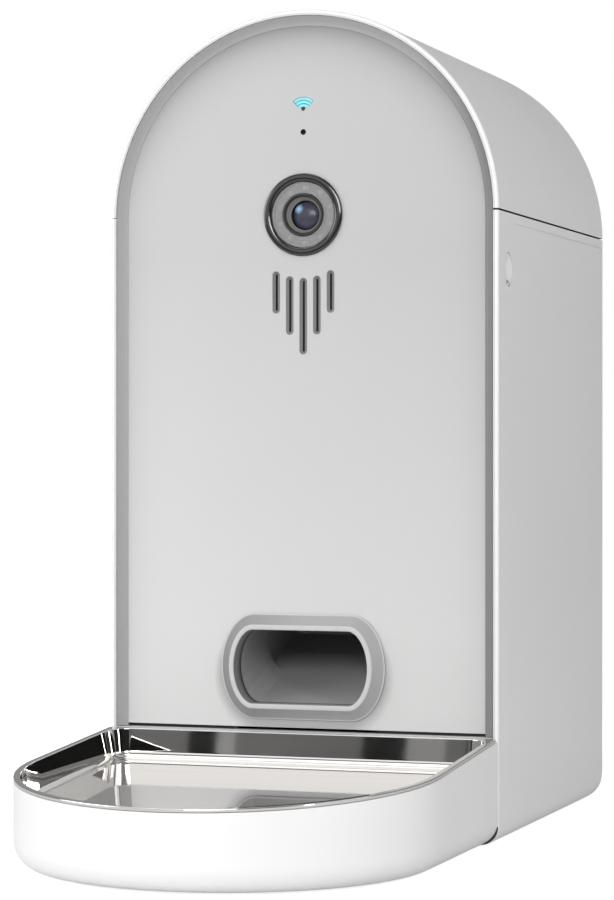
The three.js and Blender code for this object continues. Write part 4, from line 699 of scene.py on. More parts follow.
housing = box("main_housing_shell", across(half_width), (front, rear), (foot, housing_top))
round_edges(
    housing,
    (both(up_to(Z, foot), along(Y)), bottom_round, 8),
    (both(up_to(Y, front), short_of(Z, housing_top)), front_round, 5),
    (both(from_on(Y, rear), short_of(Z, housing_top)), rear_round, 5),
)
side_form = box("side_form", across(2 * half_width), (front - overrun, rear), (foot, seam))
round_edges(side_form, (both(from_on(Y, rear), up_to(Z, foot)), rear_corner, 18))
combine(housing, side_form, "INTERSECT")

cavity = box("cavity", across(half_width - wall), (bulkhead_back, inner_rear), (floor_top, seam + overrun))
round_edges(cavity, (both(from_on(Y, inner_rear), up_to(Z, floor_top)), rear_corner - rear_wall, 8))
cut(housing, cavity)

front_frame = arch_block("front_frame", frame_radius, frame_foot, front, bulkhead_back)
round_edges(front_frame, (both(up_to(Y, front), past(Z, seam)), frame_round, 3))
join(housing, front_frame)
cut(housing, arch_block("recess", half_width - lip_inset, face_top, front - overrun, bulkhead_front))
count(housing, "with its front frame,")

# %% [markdown]
# ## Openings in the housing
# The bulkhead behind the panel is pierced for the outlet, the camera, the speaker, the microphone and the signal
# light. An oval tool serves most of them: a circle whose halves are pulled apart keeps straight sides and round ends.


# %% An oval block, and the openings of the bulkhead
def oval_block(name, centre, radii, pull, y_front, y_back, steps=64, grow=0.0):
    """A circle or ellipse whose halves are pulled apart along X and Z, filled and extruded along Y."""
    deselect_all()
    bpy.ops.mesh.primitive_circle_add(vertices=steps, radius=1, rotation=(math.pi / 2, math.pi / steps, 0))
    piece = settle(name)
    edit(piece)
    pick_all()
    resize((radii[0] + grow, 1, radii[1] + grow), (0, 0, 0))
    for side in (-1, 1):
        pick(piece, "VERT", lambda corner, _: corner.x * side > 0)
        bpy.ops.transform.translate(value=(side * pull[0], 0, 0))
        pick(piece, "VERT", lambda corner, _: corner.z * side > 0)
        bpy.ops.transform.translate(value=(0, 0, side * pull[1]))
    pick_all()
    bpy.ops.transform.translate(value=(centre[0], y_front, centre[1]))
    bpy.ops.mesh.edge_face_add()
    if y_back is not None:
        push(y=y_back - y_front)
        face_out()
    deselect_all()
    return piece


border = 6.8 * mm
outlet_centre = middle_of("outlet_ring", X, Z)
outlet_half = (ring_high.x - outlet_centre[0] - border, ring_high.z - outlet_centre[1] - border)
outlet_ends = (8.6 * mm, outlet_half[1])
outlet_pull = (outlet_half[0] - outlet_ends[0], 0)
tube_wall = 1.6 * mm
barrel_radius = 16 * mm


def outlet_block(name, grow, y_front, y_back):
    return oval_block(name, outlet_centre, outlet_ends, outlet_pull, y_front, y_back, grow=grow)


def window_for(node, y):
    """A box tool as large as a node seen from the front, with a clearance round it."""
    x_span, _, z_span = spans_of(node, clearance)
    return box("hole", x_span, y, z_span)


capsule_centre = middle_of("microphone_capsule", X, Z)
microphone_place = (0, capsule_centre[1])
through = (bulkhead_front - overrun, bulkhead_back + overrun)
cut(
    housing,
    outlet_block("hole", tube_wall + clearance, *through),
    box("notch", across(outlet_half[0] + tube_wall + clearance), through, (face_top, outlet_centre[1])),
    rod("hole", barrel_radius + clearance, *through, (0, seam), "Y"),
    window_for("speaker_mesh", through),
    rod("hole", half_of("microphone_capsule", Z) + clearance, *through, microphone_place, "Y", steps=24),
    window_for("signal_light_guide", through),
)
count(housing, "with its front openings,")

# %% [markdown]
# ## Sides, rear and underside of the housing
# A release button sits in each side. The rear carries the battery door, a power socket and a reset button, and the
# underside a recess for the base plate. Each opening is a little larger than the piece in it, which leaves the thin
# dark line that shows two mouldings meeting. A fine groove under the seam is where the wall steps in for the lid.

# %% Side, rear and floor openings
button_radius = half_of("release_button_right", Z)
button_centre = middle_of("release_button_right", Y, Z)
door_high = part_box("battery_door")[1]
door_travel = 12 * mm
door_margin = 3 * mm
plate_low, plate_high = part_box("base_plate")
plate_corner = 8 * mm
plate_ledge = 6.2 * mm
groove_height = housing_top - 4 * mm
groove_half = 0.16 * mm
groove_depth = 0.25 * mm
groove_setback = 28 * mm

for side in (-1, 1):
    outside = side * (half_width + overrun)
    lengthwise = (front + groove_setback, rear + overrun)
    cut(
        housing,
        rod("hole", button_radius + clearance, side * (half_width - wall - overrun), outside, button_centre, "X"),
        box("groove", (side * (half_width - groove_depth), outside), lengthwise, across(groove_half, groove_height)),
    )

door_x, door_y, door_z = spans_of("battery_door", clearance)
doorway_x, _, doorway_z = spans_of("battery_door", -door_margin)
rear_through = (inner_rear - overrun, rear + overrun)
cut(
    housing,
    box("door_recess", door_x, (door_y[0], rear + overrun), (door_z[0], door_high.z + door_travel + clearance)),
    box("doorway", doorway_x, rear_through, doorway_z),
    rod("hole", half_of("power_inlet", Z) + clearance, *rear_through, middle_of("power_inlet", X, Z), "Y"),
    rod("hole", half_of("reset_button", Z) + clearance, *rear_through, middle_of("reset_button", X, Z), "Y", steps=48),
)


def plate_block(name, grow, z_low, z_high):
    """The base plate's rounded outline as a block."""
    x_span, y_span, _ = spans_of("base_plate", grow)
    piece = box(name, x_span, y_span, (z_low, z_high))
    return round_edges(piece, (along(Z), plate_corner + grow, 6))


cut(
    housing,
    plate_block("recess", clearance, foot - overrun, plate_high.z + clearance),
    plate_block("opening", -plate_ledge, plate_high.z, floor_top + overrun),
)
count(housing, "with its side, rear and floor openings,")

# %% [markdown]
# ## The lip and the hinge
# The lid closes over a low lip inside the walls. At the back, two short barrels on the housing and one on the lid
# between them turn on a pin. The rims that face each other in the seam are painted dark, because the gap between two
# real mouldings is too narrow for light.

# %% Housing lip and hinge barrels
lip_gap = 0.3 * mm
lip_thickness = 1.2 * mm
lip_foot, lip_top = seam - 5 * mm, seam + 3 * mm
lid_rear_wall = 2.5 * mm
lip_outer = half_width - lid_wall - lip_gap - clearance
lip_inner = lip_outer - lip_thickness
lip_soft = 0.25 * mm
lip_along = (bulkhead_back - clearance, inner_rear)
for side in (-1, 1):
    root_outer = side * (half_width - wall + clearance)
    join(
        housing,
        box("lip", (side * lip_inner, side * lip_outer), lip_along, (lip_foot, lip_top)),
        box("lip_root", (side * lip_inner, root_outer), lip_along, (lip_foot, seam - seam_gap)),
    )
lip_rear = rear - lid_rear_wall - lip_gap
join(housing, box("rear_lip", across(lip_outer), (lip_rear - lip_thickness, lip_rear), (lip_foot, lip_top)))

hinge_centre = middle_of("hinge_pin_right", X)[0]
knuckle_radius = 3.2 * mm
bore_radius = 1.5 * mm
lid_knuckle = 7 * mm
running = 0.4 * mm
knuckle_length = 7.6 * mm


def barrel(name, x_from, x_to, radius, edge=0.0):
    return rod(name, radius, x_from, x_to, (rear, seam), "X", edge, steps=48)


for side in (-1, 1):
    middle = side * hinge_centre
    cut(housing, barrel("room", *across(lid_knuckle + running, middle), knuckle_radius + running))
    for end in (-1, 1):
        near = middle + end * (lid_knuckle + running)
        join(housing, barrel("knuckle", near, near + end * knuckle_length, knuckle_radius, lip_soft))
    reach = lid_knuckle + running + knuckle_length + overrun
    cut(housing, barrel("bore", *across(reach, middle), bore_radius))
place(clean(housing, 30), "chassis", "white_shell", "main_housing")

shade_depth, shade_height = 0.6 * mm, 10 * mm


def in_seam(middle, normal):
    on_rim = normal.z > aligned and abs(middle.z - housing_top) < tiny
    on_lip = abs(normal.x) > aligned and abs(middle.x) > lip_outer - tiny and middle.z > housing_top - tiny
    behind_panel = normal.y < -aligned and bulkhead_front - tiny < middle.y < bulkhead_front + tiny
    return on_rim or (on_lip and middle.y > bulkhead_back) or behind_panel


def on_lip_face(middle, normal):
    return normal.y < -0.99 and abs(middle.y - front) < tiny


def in_tray_shade(middle, normal):
    """The lowest stretch of the front edge, where the tray's shoulder stands before it, painted dark as its shadow."""
    return middle.y < front + shade_depth and middle.z < foot + shade_height and normal.y < -0.7


# Painted shadow: the seam's rims, the lip's sides above the seam and the bulkhead face under the panel are painted
# dark.
paint(housing, "dark_plastic", in_seam)
# Painted shade on the housing's flat front lip.
paint(housing, "lip_painted_shade", on_lip_face)
# Painted shadow on the lowest front edge, behind the tray's shoulder.
paint(housing, "dark_plastic", in_tray_shade)

# %% [markdown]
# ## Lid
# The lid is an arched sheet closed at the back, with a fine round on its front edge and a wider one behind. The arch
# is made as a solid block, its edges are rounded while they are still whole, the inside is cut out and the lower rim
# is trimmed to the seam. Two tongues hang inside and catch on the release latches.

# %% Lid
lid_foot = seam - 6 * mm
lid = arch_block("lid_shell_skin", half_width, lid_foot, front, rear)
round_edges(
    lid,
    (both(up_to(Y, front), past(Z, lid_foot)), front_round, 5),
    (both(from_on(Y, rear), past(Z, lid_foot)), rear_round, 6),
)
cut(lid, arch_block("inside", half_width - lid_wall, lid_foot - overrun, front - overrun, rear - lid_rear_wall))
cut_below(lid, seam + seam_gap / 2)

tongue_outer = half_width - 8.5 * mm
tongue_inner = tongue_outer - 2 * mm
tongue_along = across(4 * mm, button_centre[0])
bridge = (seam + 4 * mm, seam + 10 * mm)
for side in (-1, 1):
    bridge_span = (side * tongue_inner, side * (half_width - lid_wall / 2))
    tongue_span = (side * tongue_inner, side * tongue_outer)
    join(
        lid,
        box("bridge", bridge_span, tongue_along, bridge, lip_soft),
        box("tongue", tongue_span, tongue_along, (lid_low.z, bridge[1]), lip_soft),
    )
    middle = side * hinge_centre
    for end in (-1, 1):
        near = middle + end * lid_knuckle
        cut(lid, barrel("room", near, near + end * (knuckle_length + 2 * running), knuckle_radius + running))
    join(lid, barrel("knuckle", *across(lid_knuckle, middle), knuckle_radius, lip_soft))
    cut(lid, barrel("bore", *across(lid_knuckle + overrun, middle), bore_radius))
place(clean(lid, 30), "lid", "white_shell", "lid_shell")
# Painted shadow on the lid's rim in the seam.
paint(lid, "dark_plastic", lambda middle, normal: normal.z < -aligned and abs(middle.z - seam) < seam_gap)
# Painted shade on the lid's flat front lip.
paint(lid, "lip_painted_shade", on_lip_face)

# %% [markdown]
# ## Panel surround
# Between the body's front lip and the panel runs a coved band. The band follows the arch, so its section is carried
# round as rings: half a circle with long legs is extruded and widened about the arch's centre, step by step. Only the
# bottom is not right after that, and one straight cut trims it.

# %% A band that follows the arch
band_legs = 1.3


def arch_band(name, profile, low):
    """profile lists (radius, place along Y) and ends where it starts. The legs are longer than needed and trimmed."""
    radius, y_now = profile[0]
    piece = half_ring(name, radius, (0, y_now, seam), Z, band_legs * (seam - low))
    pick_all("EDGE")
    for next_radius, y_next in profile[1:]:
        push_edges(y=y_next - y_now)
        scale = next_radius / radius
        resize((scale, 1, scale), (0, y_next, seam))
        radius, y_now = next_radius, y_next
    pick_all()
    bpy.ops.mesh.remove_doubles(threshold=tiny)
    cut_below(piece, low)
    return clean(piece, 40)


joint_line = 0.05 * mm
cove_outer = half_width - lip_inset - joint_line
cove_width = cove_outer - (face_edge + joint_line)
cove_front = surround_low.y
cove_edge = 0.35 * mm
cove_steps = 6
cove_curve = 1.6
# The cove falls steeply from its front edge and lies almost flat where it meets the panel.
cove = []
for step in range(cove_steps + 1):
    share = step / cove_steps
    depth = (panel_face - cove_front) * (1 - (1 - share) ** cove_curve)
    cove.append((cove_outer - cove_edge - (cove_width - cove_edge) * share, cove_front + depth))
profile = [(cove_outer, cove_front + cove_edge), *cove]
profile += [(cove[-1][0], panel_back), (cove_outer, panel_back), profile[0]]
surround = arch_band("panel_surround_cove", profile, surround_low.z)
place(surround, "chassis", "grey_trim", "panel_surround")
# The band's grey is painted darker on the right as shade.
surround.data.materials[0] = materials["surround_grey_painted_shade"]

# %% [markdown]
# ## Front panel
# The panel is a thin plate with the arched outline. Its small openings are what gives it life: five speaker slots
# that taper inwards, the microphone hole, the signal light and the round hole of the camera. The slots are cut with
# oval tools whose front rim was widened, so every slot gets its own sloped walls.


# %% Front panel with its speaker slots
def tapered_slot(x, low, high, width, throat):
    """An oval tool, wide at the panel's face and narrow behind it."""
    centre = (x, (low + high) / 2)
    pull = (0, (high - low - width) / 2)
    tool = oval_block("slot", centre, (width / 2, width / 2), pull, panel_face - tiny, None, steps=32)
    edit(tool)
    pick_all("FACE")
    push(y=-overrun)
    pick(tool, "FACE", lambda middle, normal: abs(normal.y) > aligned and middle.y > panel_face - overrun / 2)
    lip = 0.25 * mm
    depth = panel_back - panel_face
    for inwards, deeper in ((lip, lip), ((width - throat) / 2 - lip, 0.35 * depth), (tiny, depth)):
        push(y=deeper)
        shrink_oval(tool, x, centre[1], pull[1], inwards)
    face_out()
    deselect_all()
    return tool


def shrink_oval(tool, x, z, pull, inwards):
    """Moves the selected rim of an oval inwards by one distance all round: each end shrinks about its own centre."""
    mesh = bmesh.from_edit_mesh(tool.data)
    rim = [corner.co.copy() for corner in mesh.verts if corner.select]
    radius = max(corner.x for corner in rim) - x
    scale = (radius - inwards) / radius
    chosen = {tuple(round(value, 7) for value in corner) for corner in rim}
    for end in (-1, 1):
        pick(
            tool, "VERT",
            lambda corner, _: tuple(round(value, 7) for value in corner) in chosen and (corner.z - z) * end > 0,
        )
        resize((scale, 1, scale), (x, 0, z + end * pull))
    pick(tool, "FACE", lambda middle, normal: abs(middle.y - rim[0].y) < tiny)


panel_round = 0.12 * mm
panel = arch_block("front_panel_plate", face_edge, panel_low.z, panel_face, panel_back)
round_edges(panel, (up_to(Y, panel_face), panel_round, 3))
slot_width = 3.7 * mm
slot_throat = 0.9 * mm
slot_pitch = 6.15 * mm
for step, low, high in ((2, 225.1 * mm, 243.5 * mm), (1, 215.9 * mm, 241.3 * mm), (0, 207.4 * mm, 240.5 * mm)):
    for side in (-1, 1) if step else (1,):
        cut(panel, tapered_slot(side * step * slot_pitch, low, high, slot_width, slot_throat))
count(panel, "with its slots,")

# %% [markdown]
# ## The panel's other openings
# The signal light shines through a fan: a sector of a ring, open upwards, with a round dot at its point. The fan is
# part of a circle, extruded outwards and then backwards, a hair larger in the panel than on the light itself.

# %% Fan, dot, microphone, camera and outlet holes
signal_apex = 311.1 * mm
signal_first = 2.7 * mm
signal_band = 1.1 * mm
signal_groove = 0.35 * mm
signal_bands = 3
signal_outer = signal_first + signal_bands * signal_band + (signal_bands - 1) * signal_groove
signal_half_angle = 0.72
fan_steps = 192
fan_gap = 0.15 * mm
dot_place = (0, signal_apex + 1.8 * mm)
dot_radius = 0.76 * mm
microphone_radius = 1.25 * mm


def fan_block(name, inner, outer, half_angle, y_front, y_back):
    deselect_all()
    bpy.ops.mesh.primitive_circle_add(
        vertices=fan_steps, radius=inner, location=(0, y_front, signal_apex), rotation=(math.pi / 2, 0, 0)
    )
    piece = settle(name)
    edit(piece)
    lowest = signal_apex + inner * math.cos(half_angle)
    pick(piece, "VERT", lambda corner, _: corner.z < lowest - tiny)
    bpy.ops.mesh.delete(type="VERT")
    pick_all("EDGE")
    bpy.ops.mesh.extrude_edges_move()
    scale = outer / inner
    resize((scale, 1, scale), (0, y_front, signal_apex))
    pick_all("FACE")
    push(y=y_back - y_front)
    face_out()
    deselect_all()
    return piece


panel_through = (panel_face - overrun, panel_back + overrun)
gap_angle = fan_gap / signal_first
cut(
    panel,
    fan_block("hole", signal_first - fan_gap, signal_outer + fan_gap, signal_half_angle + gap_angle, *panel_through),
    rod("hole", dot_radius + fan_gap, *panel_through, dot_place, "Y", steps=24),
    rod("hole", microphone_radius, *panel_through, microphone_place, "Y", steps=32),
    rod("hole", barrel_radius + clearance, *panel_through, (0, seam), "Y", steps=96),
    outlet_block("hole", tube_wall + clearance, *panel_through),
)
place(clean(panel, 30), "chassis", "satin_panel", "front_panel")

# %% [markdown]
# ## Signal light
# A clear guide shines through the panel as a small fan of three bands. Two shallow grooves part the bands, and a dot
# stands at the point of the fan.

# %% Signal light guide
guide_x, _, guide_z = spans_of("signal_light_guide")
guide_face, guide_back = guide_low.y, guide_high.y
fan_back = guide_back - 0.8 * mm
guide_edge, dot_edge, groove_reach = 0.4 * mm, 0.1 * mm, 0.5 * mm
light = box("signal_light", guide_x, (panel_back + clearance, guide_back), guide_z, guide_edge)
join(light, fan_block("fan", signal_first, signal_outer, signal_half_angle, guide_face, fan_back))
groove_angle = signal_half_angle + 2 * gap_angle
groove_y = (guide_face - overrun, guide_face + groove_reach)
for band in range(1, signal_bands):
    groove_outer = signal_first + band * (signal_band + signal_groove)
    cut(light, fan_block("groove", groove_outer - signal_groove, groove_outer, groove_angle, *groove_y))
join(light, rod("dot", dot_radius, guide_face, fan_back, dot_place, "Y", dot_edge, steps=24))
place(clean(light), "chassis", "light_guide", "signal_light_guide")
paint(light, "dark_plastic", lambda middle, normal: math.dist((middle.x, middle.z), dot_place) < dot_radius)

# %% [markdown]
# ## Outlet ring
# The mouth of the chute is framed by a raised ring with a wide sloped shoulder and a narrow lip. It starts as a flat
# oval. Insets that rise carry it up the shoulder and over the lip, and the last face is pushed back through the
# panel as the tube. The same is done from behind, and the two open ends are bridged.

# %% Outlet ring
ring_back, ring_front = panel_face - clearance, ring_low.y
ring_foot = 0.5 * mm
lip_width = 2.2 * mm
top_y = ring_back - ring_foot
shoulder = border - lip_width - 0.5 * mm
rise = top_y - ring_front - 0.75 * mm
ring = outlet_block("outlet_ring_trim", border, ring_back, None)
edit(ring)
pick_all("FACE")
push(y=-ring_foot)
face_out()
pick(ring, "FACE", lambda middle, normal: middle.y < ring_back - 0.4 * mm)
inset((0.15 * mm, 0.15 * mm), (0.35 * mm, 0.10 * mm), (shoulder * 0.45, rise * 0.40), (shoulder * 0.55, rise * 0.60))
inset((0.12 * mm, 0.30 * mm), (0.38 * mm, 0.20 * mm), (lip_width - 1.0 * mm, 0.0))
inset((0.35 * mm, -0.15 * mm), (0.15 * mm, -0.35 * mm))
push(y=bulkhead_back - ring_front - 0.5 * mm)
bpy.ops.mesh.delete(type="FACE")
pick(ring, "FACE", lambda middle, normal: abs(middle.y - ring_back) < tiny)
inset((border - tube_wall, 0))
push(y=bulkhead_back - ring_back)
bpy.ops.mesh.delete(type="FACE")
pick(ring, "EDGE", lambda middle, way: middle.y > bulkhead_back - 0.1 * mm and abs(way.y) < 0.5)
bpy.ops.mesh.bridge_edge_loops()
place(clean(ring, 40), "chassis", "grey_trim", "outlet_ring")
# Painted shade on the ring's grey.
ring.data.materials[0] = materials["outlet_grey_painted_shade"]
# Painted highlight on the ring's lip and the outer edge of its foot.
lip_depth, foot_depth = 0.48 * mm, 0.3 * mm
paint(
    ring, "outlet_lip_painted_highlight",
    lambda middle, normal: middle.y < ring_front + lip_depth or top_y - foot_depth < middle.y < top_y,
)

# %% [markdown]
# ## Camera
# The camera is a nest of turned pieces on one axis: a glossy ring, a smoked window with a ring of infrared lights
# behind it, the hood round the lens and the lens itself. Each starts as one circle. The circle is extruded along the
# axis and widened or narrowed about it, which is what a lathe does with a profile.

# %% Camera ring and window
lens_axis = (0, seam)
cam_low, cam_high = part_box("camera_ring")
cam_radius, cam_front, cam_back = cam_high.x, cam_low.y, cam_high.y
bore = 14.4 * mm
rim_foot = cam_front + 0.7 * mm
crown_shape = 0.7
window_low, window_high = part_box("camera_window")
window_outer = window_high.x
window_inner = 9.3 * mm
fine_steps = 128


def rounded_rim(inner, outer, y_edge, y_crown, steps=10):
    """Points of a half-round rim, from its inner foot over the crown to its outer foot."""
    middle, half = (inner + outer) / 2, (outer - inner) / 2
    points = []
    for step in range(steps + 1):
        angle = math.pi * (1 - step / steps)
        points.append((middle + half * math.cos(angle), y_edge + (y_crown - y_edge) * math.sin(angle) ** crown_shape))
    return points


ring_profile = [
    (bore, cam_back),
    *rounded_rim(bore, cam_radius, rim_foot, cam_front),
    (cam_radius, panel_face - clearance),
    (barrel_radius, panel_face - clearance),
    (barrel_radius, cam_back),
    (bore, cam_back),
]
camera_ring = turned("camera_ring_gloss", ring_profile, lens_axis, fine_steps, hollow=True)
place(camera_ring, "chassis", "black_gloss", "camera_ring")

soft = 0.15 * mm
window_profile = [
    (window_inner, window_low.y + soft),
    (window_inner + soft, window_low.y),
    (window_outer - soft, window_low.y),
    (window_outer, window_low.y + soft),
    (window_outer, window_high.y),
    (window_inner, window_high.y),
    (window_inner, window_low.y + soft),
]
camera_window = turned("camera_window_ring", window_profile, lens_axis, fine_steps, hollow=True)
place(camera_window, "chassis", "smoked_glass", "camera_window")

# %% [markdown]
# ## Hood and lens
# The hood is a cup that narrows towards the lens, dark in front and lighter in its cone. The lens is a shallow dome
# whose points follow a quarter of a circle.

# %% Hood and lens
barrel_low, barrel_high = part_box("lens_barrel")
lens_low, lens_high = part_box("lens_glass")
hood_radius = barrel_high.x
hood_mouth = 8.2 * mm
hood_throat = 6.4 * mm
lens_radius = 6.1 * mm
cone_front, cone_back = barrel_low.y + 1.2 * mm, panel_face + 3 * mm
lens_seat = lens_high.y + clearance
hood_profile = [
    (hood_radius, barrel_high.y),
    (hood_radius, barrel_low.y + soft),
    (hood_radius - soft, barrel_low.y),
    (hood_mouth + soft, barrel_low.y),
    (hood_mouth, barrel_low.y + soft),
    (hood_mouth - 0.35 * mm, barrel_low.y + 0.9 * mm),
    (hood_mouth - 0.45 * mm, cone_front),
    (hood_mouth - 1.1 * mm, cone_back - 0.9 * mm),
    (hood_throat, cone_back),
    (hood_throat, lens_seat),
    (0.4 * mm, lens_seat),
]


def away_from(middle, centre):
    """Distance of a face from an axis that runs from front to back."""
    return math.dist((middle.x, middle.z), centre)


hood = turned("lens_hood", hood_profile, lens_axis)
place(hood, "chassis", "dark_plastic", "lens_barrel")
paint(
    hood, "hood_cone",
    lambda middle, normal: cone_front < middle.y < cone_back and away_from(middle, lens_axis) < hood_mouth,
)

lens_profile = [(lens_radius, lens_high.y)]
dome_steps = 12
dome = 2 * mm
for step in range(dome_steps):
    angle = math.pi / 2 * step / dome_steps
    lens_profile.append((lens_radius * math.cos(angle), lens_low.y + dome * (1 - math.sin(angle))))
place(turned("camera_lens", lens_profile, lens_axis), "chassis", "lens_glass", "lens_glass")

# %% [markdown]
# ## Infrared lights
# The infrared lights are small domes on a pale ring-shaped board behind the window. Each is turned like the larger
# pieces, and all ten are joined to the board.

# %% Infrared lights
board_low, board_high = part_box("ir_led_board")
board_face = board_high.y - 1.2 * mm
board_profile = [
    (window_inner, board_face),
    (window_outer, board_face),
    (window_outer, board_high.y),
    (window_inner, board_high.y),
    (window_inner, board_face),
]
led_board = turned("led_board", board_profile, lens_axis, hollow=True)
led_radius = 1.3 * mm
led_circle = 11.8 * mm
led_count = 10
led_profile = [
    (led_radius, board_face + 0.6 * mm),
    (led_radius, board_low.y + 0.9 * mm),
    (led_radius * 0.9, board_low.y + 0.45 * mm),
    (led_radius * 0.65, board_low.y + 0.15 * mm),
    (led_radius * 0.3, board_low.y),
]
leds = []
for index in range(led_count):
    angle = 2 * math.pi * (index + 0.5) / led_count
    centre = (led_circle * math.cos(angle), seam + led_circle * math.sin(angle))
    leds.append(turned("led", led_profile, centre, 20))
join(led_board, one_of(*leds))
place(clean(led_board), "chassis", "seal_rubber", "ir_led_board")
paint(led_board, "led_dome", short_of(Y, board_face))

# %% [markdown]
# ## Speaker cloth and microphone
# Behind the slots lies a fine black mesh, and behind the small hole the microphone's capsule, a small steel can with
# felt in its mouth.

# %% Speaker cloth and microphone
speaker_cloth = box("speaker_cloth", *spans_of("speaker_mesh"))
cloth_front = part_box("speaker_mesh")[0].y
cloth_corner, cloth_edge = 2.2 * mm, 0.15 * mm
round_edges(speaker_cloth, (along(Y), cloth_corner, 5), (up_to(Y, cloth_front), cloth_edge, 2))
place(clean(speaker_cloth), "chassis", "dark_plastic", "speaker_mesh")

can_low, can_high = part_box("microphone_capsule")
can_radius = half_of("microphone_capsule", X)
felt_radius = can_radius - 0.55 * mm
can_profile = [
    (can_radius, can_high.y),
    (can_radius, can_low.y + 0.3 * mm),
    (can_radius - 0.1 * mm, can_low.y + 0.1 * mm),
    (can_radius - 0.3 * mm, can_low.y),
    (can_radius - 0.6 * mm, can_low.y),
    (can_radius - 0.6 * mm, can_low.y + 0.25 * mm),
    (can_radius / 3, can_low.y + 0.2 * mm),
]
capsule = turned("microphone_can", can_profile, capsule_centre, 40)
place(capsule, "chassis", "plain_steel", "microphone_capsule")
paint(
    capsule, "foot_rubber",
    lambda middle, normal: middle.y < can_low.y + 0.3 * mm and away_from(middle, capsule_centre) < felt_radius,
)

# %% [markdown]
# ## Release buttons
# Each side carries one round push button, set a hair below the wall. Its face is dished for the thumb and has a
# small arrow-shaped notch near its lower edge, which is cut with two slanted bars and painted dark as the shade inside
# it.


# %% Release buttons
def rotate(angle, centre):
    """Turns what is picked about a line along X."""
    bpy.ops.transform.rotate(value=angle, orient_axis="X", center_override=centre)


def move(y, z):
    bpy.ops.transform.translate(value=(0, y, z))


mark_depth = 0.9 * mm
mark_drop = 5.4 * mm
mark_half_length, mark_half_width = 1.5 * mm, 0.32 * mm
mark_reach = 1.15 * mm
mark_angle = math.radians(35)
mark_zone = (3 * mm, 2 * mm)
button_gap, button_edge = 0.12 * mm, 0.4 * mm
flat_rim = 0.6 * mm


def push_button_face(name, inner, outer, side):
    piece = rod(name, button_radius - button_gap, inner, outer, button_centre, "X", steps=72)
    edit(piece)
    pick(piece, "EDGE", lambda middle, way: abs(middle.x - outer) < tiny)
    soften(button_edge, 4)
    pick(piece, "FACE", lambda middle, normal: abs(middle.x - outer) < tiny and abs(normal.x) > aligned)
    inset((0.8 * mm, -0.10 * mm), (1.6 * mm, -0.60 * mm), (2.0 * mm, -0.45 * mm), (1.5 * mm, -0.10 * mm))
    mark_x = (outer - side * mark_depth, outer + side * overrun)
    for turn in (-1, 1):
        mark = box("mark", mark_x, across(mark_half_length), across(mark_half_width))
        edit(mark)
        pick_all()
        rotate(turn * mark_angle, (0, 0, 0))
        move(button_centre[0] + turn * mark_reach, button_centre[1] - mark_drop)
        cut(piece, mark)
    return clean(piece)


for side, name in ((-1, "left"), (1, "right")):
    ends = spans_of(f"release_button_{name}")[X]
    inner, outer = ends if side > 0 else reversed(ends)

    # The notch's walls and floor, which are painted dark as the shade inside it.
    def in_mark(middle, normal):
        in_dish = math.dist((middle.y, middle.z), button_centre) < button_radius - flat_rim
        aside, above = middle.y - button_centre[0], middle.z - button_centre[1] + mark_drop
        sunk = abs(normal.x) < 0.5 or abs(middle.x) < abs(outer) - mark_depth + 0.1 * mm
        return in_dish and abs(aside) < mark_zone[0] and abs(above) < mark_zone[1] and sunk

    push_button = push_button_face(f"release_button_face_{name}", inner, outer, side)
    place(push_button, f"release_{name}", "white_shell", f"release_button_{name}")
    # Painted shade inside the notch.
    paint(push_button, "dark_plastic", in_mark)

# %% [markdown]
# ## The outline of tray and bowl
# Seen from above, tray and bowl are half a circle in front and a straight line behind. A form with this outline is
# made like the arch, now lying down: half a circle with long legs, filled, then carried upwards as rings. The legs
# end beyond the rear line and one cut trims them.

# %% A form with the tray's outline
tray_low, tray_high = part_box("tray_shell")
tray_radius = tray_high.x
tray_middle = tray_low.y + tray_radius
tray_rear = front - clearance
rim_slope = 0.0753
rim_height = 46.2 * mm
tray_legs = 1.6


def rim_at(y):
    return rim_height + rim_slope * (y - front)


def tray_form(name, profile, y_rear):
    """profile lists (radius, height) from the bottom up. The form is solid."""
    radius, height = profile[0]
    piece = half_ring(name, radius, (0, tray_middle, height), Y, tray_legs * (y_rear - tray_middle))
    pick_all()
    bpy.ops.mesh.edge_face_add()
    pick_all("FACE")
    for next_radius, next_height in profile[1:]:
        push(z=next_height - height)
        scale = next_radius / radius
        resize((scale, scale, 1), (0, tray_middle, next_height))
        radius, height = next_radius, next_height
    face_out()
    slice_off((0, y_rear, 0), (0, 1, 0))
    return piece


def trim_above(piece, drop):
    """Cuts the form along the tilted plane of the rim, lowered by a distance."""
    edit(piece)
    slice_off((0, front, rim_height - drop), (0, -rim_slope, 1))


def quarter(radius_from, radius_to, height_from, height_to, steps):
    """Points of a quarter round between two radii and heights, flat at the bottom and upright at the top."""
    wide, high = radius_to - radius_from, height_to - height_from
    angles = [math.pi / 2 * step / steps for step in range(steps + 1)]
    return [(radius_from + wide * math.sin(angle), height_from + high * (1 - math.cos(angle))) for angle in angles]


print("tray radius", round(tray_radius / mm, 1), "mm, its middle at", round(tray_middle / mm, 1), "mm")

# %% [markdown]
# ## Tray
# The tray is a thick white tub with a well rounded foot. Its rim runs under the bowl's flange, level with it, and
# rises a little towards the back. Two tongues hold it in the body, and two pockets below take its feet.

# %% Tray
tray_round = 10.5 * mm
tray_wall = 1.6 * mm
flange_drop = 1.3 * mm
rim_drop = flange_drop + clearance
rim_edge = 0.3 * mm
above = 10 * mm
inner_radius = tray_radius - tray_wall
well_floor = foot + 2.5 * mm

